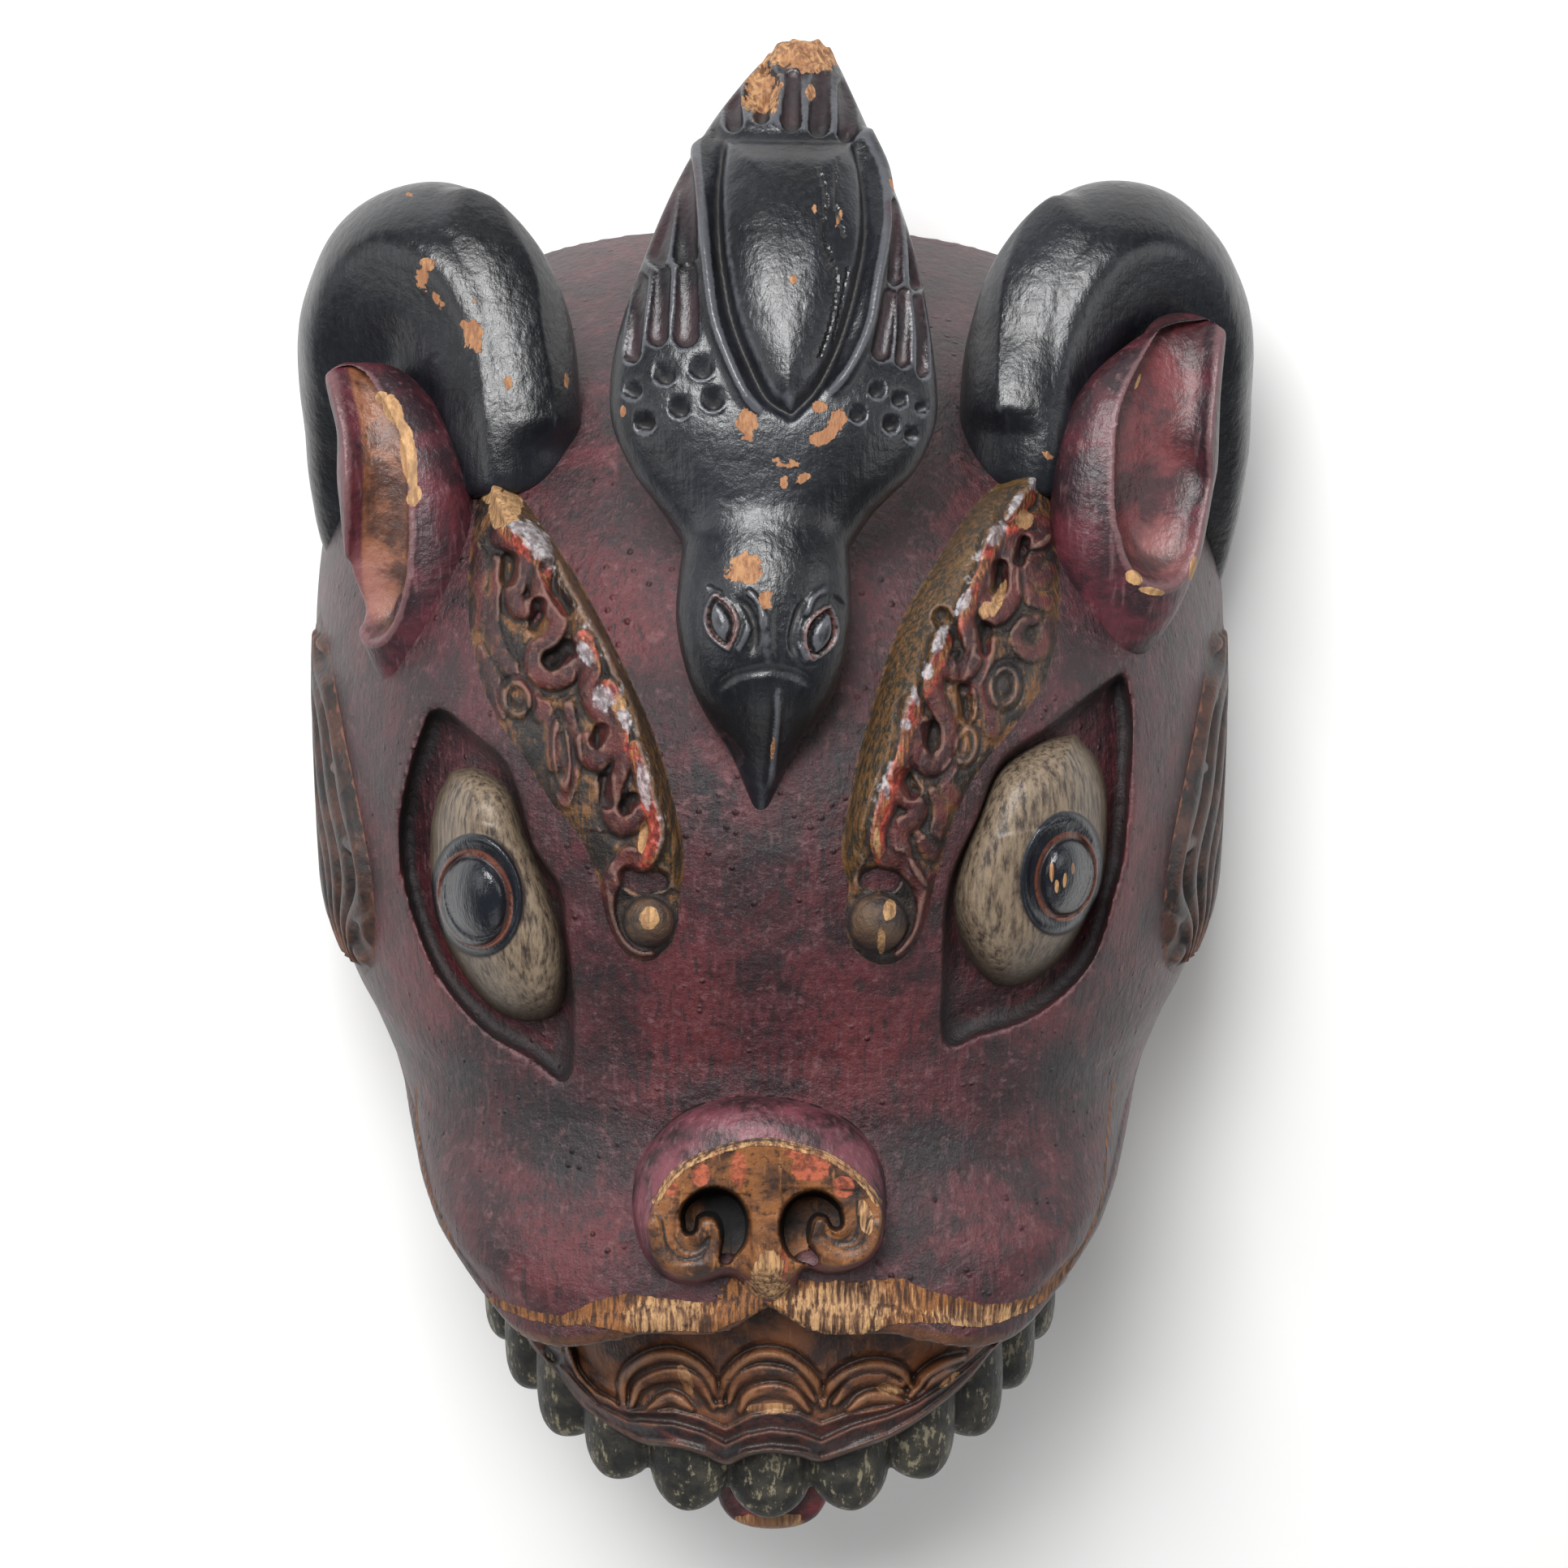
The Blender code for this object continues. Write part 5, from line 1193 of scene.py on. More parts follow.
def make_bird():
    """Bird that lies head down on the forehead, its broken tail past the crown."""
    thick = 17.0
    stations = bird_form()
    turn = np.linspace(0, 2 * math.pi, 72, endpoint=False)
    ahead = unit(np.gradient(stations[:, :3], axis=0))
    rings = []
    for (x, y, z, half, share), a in zip(stations, ahead):
        up = unit(np.cross(a, (1.0, 0, 0)))
        up *= np.sign(up[2])
        c, s = np.cos(turn), np.sin(turn)
        ring = (np.sign(c) * np.abs(c) ** 0.8)[:, None] * np.array([half, 0, 0])
        ring = ring + (s * thick * share)[:, None] * up
        rings.append(np.array([x, y, z]) - up * thick * 0.25 + ring)
    body = loft("bird_body", rings)

    stations = curve([(0, 140, 185, 19, 13), (-0.5, 128, 190, 20.5, 15.5), (-1, 113, 193, 21.5, 16.8),
                      (-1, 99, 194.5, 19, 15.4), (-1, 88, 193.5, 14.5, 12), (-1.5, 76, 191, 7.6, 7.5),
                      (-1.7, 66, 189, 3.7, 4.5), (-1.8, 61, 188, 2.6, 3), (-2.2, 58.3, 187, 1.0, 1.4)], 80)
    rings = []
    for x, y, z, half, high in stations:
        rings.append(np.stack([x + half * np.cos(turn), np.full(72, y), z - 3 + high * np.sin(turn)], 1))
    obj = fuse("bird", [body, loft("bird_head", rings)], 0.6, 3)

    skin = Skin(obj)
    neck = np.exp(-((seen(skin.p)[:, 1] - 632) / 34) ** 4)[:, None]
    skin.p = skin.p * (1 - neck) + skin.soften(skin.p, 120) * neck
    skin.place()
    px = seen(skin.p)
    n = skin.out()
    upper = ease(n[:, 2], 0.0, 0.3)
    relief = Relief(px)
    left, right = [curve(line, 40) for line in BACK_GROOVE]
    back = within(px, np.vstack([left, right[::-1]]))
    start = ease(px[:, 1], 150, 215)
    relief.height += (5.2 * (1 - (1 - np.clip(back / 70, 0, 1)) ** 2) ** 0.6
                      - 2.2 * np.exp(-(back / 7) ** 2)) * start
    for line in BACK_RIM:
        d, share = near(px, curve(line, 40))
        relief.height += 2.4 * np.exp(-(d / 8) ** 2) * ease(1 - share, 0, 0.1)
    relief.height -= 0.8 * np.exp(-((px[:, 1] - 163) / 9) ** 2) * (np.abs(px[:, 0] - 965) < 88)
    for *points, half in LONG_FEATHERS:
        line = curve(points, 12)
        spots = relief.close_to(line, half)
        d, share = near(px[spots], line)
        scoop = (1 - np.clip(d / (half * (0.75 + 0.25 * share)), 0, 1) ** 2) ** 0.45 * (0.5 + 0.5 * share)
        relief.height[spots] -= 2.6 * scoop
    for x, y, half in SHORT_FEATHERS:
        spots = relief.close_to(np.array([[x, y]]), half * 2)
        u, v = (px[spots, 0] - x) / half, (px[spots, 1] - y) / half
        r = np.hypot(u, np.maximum(v, 0) * 1.1)
        relief.height[spots] -= (2.6 * (1 - ease(r, 0.82, 1.0)) * ease(v, -1.5, 0.8)
                                 * np.clip(1 - u ** 2, 0, 1) ** 0.8)
        relief.height[spots] += 0.4 * np.exp(-((r - 1.1) / 0.12) ** 2) * ease(v, 0.2, 0.7)
    head_marks = px[:, 1] > 640
    for x, y, turn_by in BIRD_EYES:
        r = almond(px, (x, y), BIRD_EYE_HALF, turn_by)
        relief.height += (1.8 * np.clip(1 - (r / 0.72) ** 2, 0, 1) ** 0.6
                          - 2.2 * np.exp(-((r - 0.8) / 0.13) ** 2)
                          + 1.2 * np.exp(-((r - 1.08) / 0.14) ** 2)) * head_marks
    for points, half, height in (
            (((874, 858), (900, 836), (930, 827), (958, 826), (985, 833), (1006, 852)), 5, -0.55),
            (((958, 832), (957, 880), (952, 930), (945, 985)), 5, 1.1),
            (((948, 740), (945, 770), (947, 822)), 7, 0.6),
            (((905, 735), (922, 752), (930, 780), (926, 812)), 4, -0.8),
            (((915, 722), (936, 745), (940, 780)), 4, 0.8),
            (((993, 735), (982, 760), (976, 790), (984, 815)), 4, -0.8),
            (((1022, 722), (1000, 738), (992, 765)), 4, 0.8),
            (((884, 905), (900, 922), (912, 944)), 6, -1.3),
            (((1000, 905), (990, 925), (980, 945)), 6, -1.2),
            (((870, 720), (880, 728), (893, 732)), 3, -0.6),
            (((1024, 735), (1034, 742), (1040, 752)), 3, -0.6),
            (((925, 765), (915, 790), (905, 806)), 4, 0.7),
            (((985, 790), (990, 806), (1000, 815)), 4, 0.7)):
        relief.stroke(points, half * 1.5, height * 1.25, 1.0, None, 0.25)
    gouge = oval(px, (938, 112), (22, 34), 14)
    notch = 0.55 * np.clip(1 - gouge ** 2, 0, 1) ** 0.5 * ease(150 - px[:, 1], 0, 30)
    notch += 0.5 * np.clip(1 - (np.hypot((px[:, 0] - 941) / 9, (px[:, 1] - 76) / 14)), 0, 1)
    skin.p += n * (relief.height * upper)[:, None]
    skin.p += np.array([0.15, -0.55, -0.8]) * (notch * 7.0 * upper)[:, None]
    rough = np.array([noise.noise(Vector(p * 0.35)) for p in skin.p])
    tip = ease(skin.p[:, 1], 233, 240)
    skin.p[:, 1] -= tip * (0.8 + rough * 1.6)
    skin.p = skin.soften(skin.p, 1, 0.3)
    skin.place()
    thin_out(obj, 180000)

    skin = Skin(obj)
    px = seen(skin.p)
    broken = 0.5 + (np.minimum(0.032 * (92 - px[:, 1] - 0.3 * np.abs(px[:, 0] - 1000)), 0.5))
    gouge = 1.0 - 0.5 * oval(px, (938, 112), (22, 32), 14)
    top = (px[:, 1] < 150) & (skin.p[:, 1] > 205)
    spots = (((921, 701), (24, 22), 0), ((944, 737), (9, 13), 0), ((921, 522), (12, 24), -12),
             ((1012, 540), (14, 9), -20), ((1032, 520), (9, 22), 25), ((1010, 500), (10, 8), 0),
             ((972, 570), (18, 7), 0), ((966, 592), (7, 12), 0), ((988, 590), (10, 6), -30),
             ((952, 925), (2.5, 14), 5), ((1003, 257), (4, 9), 0), ((1034, 268), (3, 10), 20),
             ((978, 345), (4, 8), 0), ((857, 165), (5, 7), 0), ((768, 505), (4, 8), 0),
             ((1098, 225), (3, 10), -15), ((1000, 112), (7, 12), 0))
    rim = (((850, 158), (845, 175), (838, 195)), 2.0), (((881, 138), (895, 112), (915, 90)), 3.0)
    skin.keep("bare", np.maximum(chips(skin, spots, rim), np.where(top, np.maximum(broken, gouge), 0)))
    skin.keep("fresh", top.astype(float))
    cracks = Relief(px)
    for points in (((1008, 205), (1018, 245), (1012, 285), (1022, 330)),
                   ((1033, 195), (1028, 240), (1040, 290)),
                   ((1015, 300), (1030, 340), (1024, 395), (1010, 440)),
                   ((1045, 330), (1035, 380), (1026, 420))):
        cracks.stroke(points, 2.2, 1.0, 1.0, 20)
    skin.keep("crack", np.clip(cracks.height, 0, 1))
    feathers = Relief(px)
    for *points, half in LONG_FEATHERS:
        feathers.stroke(points, half, 1.0, 0.5, 12)
    upward = skin.out()[:, 2] > 0.2
    skin.keep("wine", np.clip(feathers.height, 0, 1) * upward)
    # Painted highlight along the rims of the back and the lower edges of the short feathers.
    ridge = np.zeros(len(px))
    for line in BACK_RIM:
        ridge = np.maximum(ridge, np.exp(-(near(px, curve(line, 40))[0] / 5) ** 2))
    for x, y, half in SHORT_FEATHERS:
        u, v = (px[:, 0] - x) / half, (px[:, 1] - y) / half
        r = np.hypot(u, np.maximum(v, 0) * 1.1)
        ridge = np.maximum(ridge, 0.9 * np.exp(-((r - 0.96) / 0.09) ** 2) * ease(v, 0.25, 0.7))
    skin.keep("ridge_highlight", ridge * upward)
    rims = np.zeros(len(px))
    for x, y, turn_by in BIRD_EYES:
        r = almond(px, (x, y), BIRD_EYE_HALF, turn_by)
        rims = np.maximum(rims, np.exp(-((r - 1.05) / 0.11) ** 2) * (px[:, 1] > 640))
    skin.keep("eye_rim", rims)
    skin.keep_hollow_and_proud(2.0)
    return obj


def make_tuft(side):
    """Flame-shaped tuft of hair at the back of a cheek, drawn on the head's side as height against depth."""
    tag = "left" if side == LEFT else "right"
    outline = curve([(74, 62), (70, 84), (56, 104), (36, 118), (16, 124), (-4, 120), (-16, 108), (-18, 96),
                     (-6, 76), (8, 54), (24, 38), (44, 36), (62, 44), (74, 62)], 80)[:-1]
    hairs = (((68, 70), (60, 92), (40, 112), (16, 119), (-12, 106)),
             ((66, 60), (54, 82), (38, 98), (14, 108), (-13, 104)),
             ((62, 50), (48, 70), (32, 86), (10, 97), (-13, 101)),
             ((52, 43), (38, 60), (24, 75), (6, 88), (-14, 98)),
             ((40, 40), (26, 54), (12, 68), (0, 81), (-14, 95)),
             ((26, 42), (14, 56), (4, 68), (-6, 82), (-15, 93)))
    curls = (((70, 78), (72, 90), (64, 96), (58, 90)), ((60, 96), (56, 108), (46, 110), (42, 102)),
             ((44, 111), (36, 120), (26, 119), (24, 111)), ((24, 119), (14, 126), (6, 123), (4, 115)),
             ((4, 119), (-4, 122), (-10, 117), (-8, 110)))

    def shape(places):
        relief = Relief(places)
        relief.height += 0.4
        ground = relief.height.copy()
        for points in hairs:
            line = curve(points, 30)
            across = unit(np.gradient(line, axis=0))[:, ::-1] * (-1, 1)
            wave = 2.4 * np.sin(np.linspace(0, 5 * math.pi, 30))
            relief.ridge(line + across * wave[:, None], np.array([1.4, 4.0, 4.2, 3.4, 1.0]), 2.6, ground, 60)
        for points in curls:
            relief.ridge(points, np.array([3.0, 3.4, 2.8, 2.2]), 2.2, ground, 20)
        return np.minimum(relief.height, 0.5 + np.clip(places[:, 1] - 40, 0, 60) / 16)

    obj = patch("tuft_" + tag, outline, 0.8,
                lambda places, inner: shape(places) * ease(inner, -0.4, 2.5),
                lambda places: on_side(head_section, side, places), lambda p, n: n, sink=4.0, margin=1.6)
    skin = Skin(obj)
    skin.p = skin.soften(skin.p, 1, 0.5)
    skin.place()
    skin.keep("bare", np.zeros(len(skin.p)))
    skin.keep_hollow_and_proud(1.6)
    return obj


class Value:
    """A number that varies over a surface: sums on it add Math nodes."""

    def __init__(self, finish, socket):
        self.finish = finish
        self.socket = socket

    def work(self, operation, *others):
        return self.finish.node("ShaderNodeMath", {"operation": operation}, (self,) + others)

    def back(self, operation, other):
        return self.finish.node("ShaderNodeMath", {"operation": operation}, (other, self))

    def __add__(self, other):
        return self.work("ADD", other)

    def __radd__(self, other):
        return self.back("ADD", other)

    def __sub__(self, other):
        return self.work("SUBTRACT", other)

    def __rsub__(self, other):
        return self.back("SUBTRACT", other)

    def __mul__(self, other):
        return self.work("MULTIPLY", other)

    def __rmul__(self, other):
        return self.back("MULTIPLY", other)

    def over(self, other):
        return self.work("MAXIMUM", other)

    def between(self, low, high):
        """0 at low, 1 at high, and eased between."""
        return self.finish.node("ShaderNodeMapRange", {"interpolation_type": "SMOOTHSTEP", "clamp": True},
                                {"Value": self, "From Min": low, "From Max": high})


class Finish:
    """One painted finish, as a material whose nodes are written as sums."""

    def __init__(self, name, roughness=0.5, coat=0.0):
        self.material = bpy.data.materials.new(name)
        self.material.use_nodes = True
        self.tree = self.material.node_tree
        self.shader = self.tree.nodes["Principled BSDF"]
        self.shader.inputs["Roughness"].default_value = roughness
        self.shader.inputs["Coat Weight"].default_value = coat
        self.place = self.node("ShaderNodeTexCoord", {}, {}, "Object")

    def node(self, kind, settings, values, out=0):
        made = self.tree.nodes.new(kind)
        for key, value in settings.items():
            setattr(made, key, value)
        pairs = values.items() if isinstance(values, dict) else enumerate(values)
        for key, value in pairs:
            if isinstance(value, Value):
                self.tree.links.new(value.socket, made.inputs[key])
            elif value is not None:
                made.inputs[key].default_value = value
        return Value(self, made.outputs[out])

    def mark(self, name):
        return self.node("ShaderNodeAttribute", {"attribute_name": name}, {}, "Fac")

    def scaled(self, stretch):
        return self.node("ShaderNodeMapping", {}, {"Vector": self.place, "Scale": stretch})

    def noise(self, scale, detail=4.0, rough=0.55, stretch=None, warp=0.0):
        place = self.scaled(stretch) if stretch else self.place
        return self.node("ShaderNodeTexNoise", {}, {"Vector": place, "Scale": scale, "Detail": detail,
                                                    "Roughness": rough, "Distortion": warp}, "Fac")

    def cells(self, scale, feature="F1", stretch=None):
        place = self.scaled(stretch) if stretch else self.place
        return self.node("ShaderNodeTexVoronoi", {"feature": feature}, {"Vector": place, "Scale": scale},
                         "Distance")

    def mix(self, amount, low, high):
        """Colour that goes from low to high with the amount."""
        made = self.tree.nodes.new("ShaderNodeMix")
        made.data_type = "RGBA"
        for socket, value in ((made.inputs[0], amount), (made.inputs[6], low), (made.inputs[7], high)):
            if isinstance(value, Value):
                self.tree.links.new(value.socket, socket)
            elif isinstance(value, tuple):
                socket.default_value = (*value, 1.0)
            else:
                socket.default_value = value
        return Value(self, made.outputs[2])

    def tinted_by_mark(self, colour, name, spread, edge, amount, tint):
        """Colour with a tint where a kept mark, spread by a pattern, is over its edge; and that mask."""
        mask = (self.mark(name) + spread).between(*edge)
        return self.mix(mask * amount, colour, tint), mask

    def set(self, name, value):
        self.tree.links.new(value.socket, self.shader.inputs[name])

    def bump(self, height, distance, strength=1.0, under=None):
        made = self.tree.nodes.new("ShaderNodeBump")
        made.inputs["Distance"].default_value = distance
        made.inputs["Strength"].default_value = strength
        self.tree.links.new(height.socket, made.inputs["Height"])
        if under is not None:
            self.tree.links.new(under.socket, made.inputs["Normal"])
        return Value(self, made.outputs["Normal"])

    def wood(self, stretch=(900, 70, 900)):
        """Bare old wood: streaked along the grain, pale on fresh breaks and brown where it is handled."""
        grain = self.noise(1.0, 3.0, 0.6, stretch)
        broad = self.noise(55.0, 3.0, 0.5)
        colour = self.mix(grain.between(0.36, 0.66), WOOD_DARK, WOOD_PALE)
        colour = self.mix(broad.between(0.42, 0.68) * 0.75, colour, WOOD_BROWN)
        return colour, grain


WOOD_PALE = (0.5, 0.29, 0.13)
WOOD_BROWN = (0.24, 0.105, 0.045)
WOOD_DARK = (0.085, 0.035, 0.018)
SOOT_AND_SHADE = (0.014, 0.012, 0.013)
WINE = (0.056, 0.0155, 0.0205)
WINE_DARK = (0.023, 0.009, 0.0115)
WINE_RED = (0.098, 0.0195, 0.0235)
# Pink of worn paint, also laid on as painted sheen.
WINE_PINK_WEAR_AND_SHEEN = (0.19, 0.095, 0.1)
WINE_SOOT = (0.016, 0.0135, 0.0155)


def worn_mask(f, field, wobble=0.3):
    """Where the paint is off: the kept field, with a broken edge."""
    fine = f.noise(420.0, 4.0, 0.6)
    ragged = f.noise(130.0, 3.0, 0.6)
    return (field + (fine - 0.5) * wobble + (ragged - 0.5) * wobble).between(0.5, 0.54)


def maroon_finish():
    f = Finish("maroon_paint", 0.4)
    broad = f.noise(20.0, 4.0, 0.6, warp=0.8)
    patchy = f.noise(62.0, 6.0, 0.66, warp=0.5)
    blotch = f.noise(130.0, 5.0, 0.65, warp=0.3)
    speck = f.noise(520.0, 4.0, 0.65)
    brush = f.noise(1.0, 4.0, 0.65, (620, 70, 620))
    colour = f.mix(patchy.between(0.34, 0.64), WINE_DARK, WINE)
    warm = (f.mark("warm") + (blotch - 0.5) * 0.8).between(0.3, 1.0)
    colour = f.mix((broad * 0.6 + patchy * 0.6 + warm * 0.22).between(0.56, 0.86) * 0.9, colour, WINE_RED)
    soot = (f.mark("sooty") + (blotch - 0.5) * 0.8).between(0.3, 1.0)
    colour = f.mix((1.12 - broad * 0.8 - blotch * 0.85 + soot * 0.26 - warm * 0.1).between(0.34, 0.6) * 0.9,
                   colour, WINE_SOOT)
    # Pink flecks and streaks: worn paint and painted sheen.
    colour = f.mix((blotch * 0.6 + speck * 0.6).between(0.64, 0.78) * 0.4, colour, WINE_PINK_WEAR_AND_SHEEN)
    colour = f.mix(brush.between(0.55, 0.7) * 0.24, colour, WINE_PINK_WEAR_AND_SHEEN)
    colour = f.mix(brush.between(0.48, 0.36) * 0.7, colour, SOOT_AND_SHADE)
    # Near black in hollows: soot in the small ones, painted shade in wide recesses and around the eye
    # sockets.
    hollow = f.mark("hollow").over(f.mark("deep"))
    soot_and_shade = (hollow * 1.25 + f.mark("socket_shade") * 0.35 + (blotch - 0.5) * 0.7).between(0.2, 0.7)
    colour = f.mix(soot_and_shade * 0.9, colour, SOOT_AND_SHADE)
    # Raised forms lighter pink: worn paint, and painted sheen.
    colour, _ = f.tinted_by_mark(colour, "proud", (speck - 0.5) * 0.6, (0.2, 0.7), 0.6, WINE_PINK_WEAR_AND_SHEEN)
    wood, grain = f.wood()
    brown = f.mix(grain.between(0.38, 0.62), (0.05, 0.019, 0.009), (0.27, 0.105, 0.03))
    wood = f.mix((f.mark("fresh") + (grain - 0.5) * 1.2 + (blotch - 0.5) * 0.5).between(0.5, 0.68), brown,
                 wood)
    bare = worn_mask(f, f.mark("bare"), 0.4)
    mouth = f.mix(patchy.between(0.35, 0.65), (0.03, 0.012, 0.008), (0.13, 0.05, 0.022))
    colour = f.mix(f.mark("mouth_zone") * (1.0 - f.mark("inside")), colour, mouth)
    colour = f.mix(bare, colour, wood)
    inner_wood = f.mix(f.noise(60.0, 4.0, 0.6).between(0.35, 0.7), (0.05, 0.026, 0.014), (0.13, 0.07, 0.038))
    inner_wood = f.mix(f.noise(1.0, 3.0, 0.6, (500, 40, 500)).between(0.5, 0.7) * 0.5, inner_wood,
                       (0.2, 0.115, 0.06))
    colour = f.mix(f.mark("inside").between(0.3, 0.7), colour, inner_wood)
    f.set("Base Color", colour)
    f.set("Roughness", 0.3 + speck * 0.2 + bare * 0.25 + f.mark("inside") * 0.3 + soot_and_shade * 0.22)
    dots = f.cells(210.0).between(0.22, 0.03) * f.noise(60.0, 2.0).between(0.48, 0.6)
    relief = f.bump(dots, 0.0014, 0.9)
    relief = f.bump(f.noise(340.0, 6.0, 0.7), 0.0013, 0.75, relief)
    relief = f.bump(f.noise(70.0, 3.0, 0.5), 0.003, 0.35, relief)
    relief = f.bump(brush, 0.0009, 0.5, relief)
    relief = f.bump(grain * bare, 0.0014, 0.9, relief)
    gouges = f.cells(38.0, "SMOOTH_F1", (1, 0.5, 1)) * f.mark("inside")
    relief = f.bump(gouges, 0.004, 0.8, relief)
    f.set("Normal", relief)
    return f.material


def black_finish():
    f = Finish("black_paint", 0.34)
    broad = f.noise(30.0, 4.0, 0.6)
    speck = f.noise(480.0, 4.0, 0.6)
    brush = f.noise(1.0, 3.0, 0.6, (420, 50, 420))
    colour = f.mix(broad.between(0.35, 0.7), (0.004, 0.0045, 0.006), (0.011, 0.0125, 0.017))
    colour = f.mix(brush.between(0.54, 0.72) * 0.3, colour, (0.022, 0.025, 0.033))
    hollow = f.mark("hollow")
    colour = f.mix((hollow + (speck - 0.5) * 0.8).between(0.35, 0.85) * 0.3, colour, (0.03, 0.025, 0.022))
    # Raised parts lighter blue-grey: worn paint, and painted highlight on the bird's back rims and feather
    # edges.
    proud = (f.mark("proud") * 0.9 + f.mark("ridge_highlight") * 0.7 + (speck - 0.5) * 0.5).between(0.35, 0.9)
    colour = f.mix(proud * 0.55, colour, (0.11, 0.115, 0.13))
    colour = f.mix(f.mark("wine") * broad.between(0.3, 0.6) * 0.7, colour, (0.04, 0.014, 0.017))
    colour = f.mix(f.mark("eye_rim") * speck.between(0.3, 0.55) * 0.8, colour, (0.24, 0.11, 0.09))
    wood, grain = f.wood()
    bare = worn_mask(f, f.mark("bare"), 0.9)
    colour = f.mix(bare, colour, f.mix(f.mark("fresh") * 0.6, f.mix(0.62, wood, (0.27, 0.115, 0.05)), wood))
    colour = f.mix(f.mark("crack") * 0.9, colour, (0.004, 0.003, 0.003))
    f.set("Base Color", colour)
    f.set("Roughness", 0.2 + speck * 0.22 + bare * 0.4 + hollow * 0.25)
    relief = f.bump(f.noise(300.0, 6.0, 0.65), 0.0007, 0.45)
    relief = f.bump(f.noise(60.0, 3.0, 0.5), 0.003, 0.2, relief)
    relief = f.bump(brush, 0.0006, 0.35, relief)
    relief = f.bump(grain * bare - bare * 0.6 - f.mark("crack") * 0.8, 0.0012, 0.8, relief)
    f.set("Normal", relief)
    return f.material


def brow_finish():
    f = Finish("brow_gold_and_flame", 0.4)
    speck = f.noise(460.0, 4.0, 0.6)
    patchy = f.noise(110.0, 4.0, 0.6, warp=0.5)
    streak = f.noise(1.0, 3.0, 0.65, (900, 110, 900))
    ground = f.mix(patchy.between(0.38, 0.62), (0.011, 0.0085, 0.008), (0.05, 0.034, 0.025))
    ochre = (streak * 0.5 + patchy * 0.7).between(0.58, 0.72)
    ground = f.mix(ochre * 0.8, ground, (0.2, 0.085, 0.026))
    wall = f.mix(streak.between(0.4, 0.62), (0.022, 0.017, 0.009), (0.12, 0.055, 0.014))
    wall = f.mix(patchy.between(0.56, 0.7) * 0.5, wall, (0.17, 0.09, 0.02))
    gold = f.mix(streak.between(0.4, 0.64), (0.09, 0.03, 0.015), (0.38, 0.15, 0.055))
    red = f.mix(speck.between(0.35, 0.65), (0.12, 0.014, 0.012), (0.48, 0.07, 0.038))
    flame = f.mix(patchy.between(0.45, 0.55), gold, red)
    flame = f.mix(speck.between(0.6, 0.74) * 0.7, flame, (0.6, 0.36, 0.2))
    ribbon = (f.mark("ribbon") + (speck - 0.5) * 0.2).between(0.02, 0.2)
    lit = (f.mark("crest") * 1.2 + (patchy - 0.5) * 0.9).between(0.12, 0.5)
    dull = f.mix(patchy.between(0.4, 0.6), (0.03, 0.008, 0.01), (0.09, 0.02, 0.019))
    dull = f.mix(speck.between(0.5, 0.66) * 0.4, dull, (0.15, 0.06, 0.03))
    colour = f.mix(ribbon, ground, f.mix(lit, dull, flame))
    colour = f.mix(f.mark("wall").between(0.4, 0.6), colour, wall)
    knob = f.mix(patchy.between(0.4, 0.62), (0.035, 0.026, 0.024), (0.1, 0.06, 0.035))
    colour = f.mix(f.mark("knob").between(1.05, 0.95), colour, knob)
    colour, hollow = f.tinted_by_mark(colour, "hollow", (speck - 0.5) * 0.4, (0.25, 0.8), 0.9, (0.017, 0.012, 0.011))
    colour, proud = f.tinted_by_mark(colour, "proud", (speck - 0.5) * 0.7, (0.45, 0.95), 0.28, (0.36, 0.22, 0.17))
    # Painted highlight: pale grey-lilac on the patches and along the crest.
    crest_highlight = (f.mark("crest_highlight") + (speck - 0.5) * 0.9 + (patchy - 0.5) * 0.7).between(0.22, 0.5)
    colour = f.mix(crest_highlight * 0.75, colour, f.mix(speck.between(0.4, 0.6), (0.2, 0.17, 0.18), (0.5, 0.48, 0.5)))
    wood, _ = f.wood()
    bare = worn_mask(f, f.mark("bare"))
    colour = f.mix(bare, colour, f.mix(0.35, wood, WOOD_PALE))
    f.set("Base Color", colour)
    f.set("Roughness", 0.24 + speck * 0.22 + bare * 0.3 + hollow * 0.3)
    relief = f.bump(f.noise(420.0, 6.0, 0.7), 0.0013, 0.8)
    relief = f.bump(streak, 0.0008, 0.5, relief)
    f.set("Normal", relief)
    return f.material


def eye_finish():
    f = Finish("eye_paint", 0.42)
    speck = f.noise(600.0, 4.0, 0.6)
    streak = f.noise(1.0, 4.0, 0.7, (620, 120, 620))
    broad = f.noise(45.0, 3.0, 0.5)
    white = f.mix(streak.between(0.34, 0.64), (0.055, 0.037, 0.027), (0.2, 0.15, 0.1))
    white = f.mix(streak.between(0.44, 0.32) * 0.85, white, (0.03, 0.022, 0.017))
    # Painted shade: the white darker towards its rim and its lower part.
    eye_shade = (f.mark("eye_shade") + (speck - 0.5) * 0.8 + (streak - 0.5) * 0.9).between(0.35, 0.75)
    white = f.mix(eye_shade * 0.8, white, (0.05, 0.038, 0.027))
    ring = f.mark("ring") + (speck - 0.5) * 0.03
    ball = f.mark("ball")
    black = f.mix(broad, (0.004, 0.0045, 0.006), (0.014, 0.017, 0.024))
    colour = f.mix(ring.between(1.03, 0.99), white, black)
    rust = ball.between(0.98, 1.04) * ball.between(1.2, 1.13) * ring.between(0.9, 0.84)
    rust = rust * (speck + 0.35).between(0.6, 0.9)
    colour = f.mix(rust * 0.8, colour, (0.15, 0.045, 0.025))
    wood, _ = f.wood()
    bare = worn_mask(f, f.mark("bare"), 0.2)
    colour = f.mix(bare, colour, wood)
    colour, hollow = f.tinted_by_mark(colour, "hollow", (speck - 0.5) * 0.5, (0.3, 0.9), 0.8, (0.025, 0.015, 0.014))
    f.set("Base Color", colour)
    f.set("Roughness", 0.4 + speck * 0.15 - ring.between(1.0, 0.9) * 0.27 + hollow * 0.2)
    relief = f.bump(streak, 0.0006, 0.5)
    f.set("Normal", f.bump(speck, 0.0004, 0.4, relief))
    return f.material


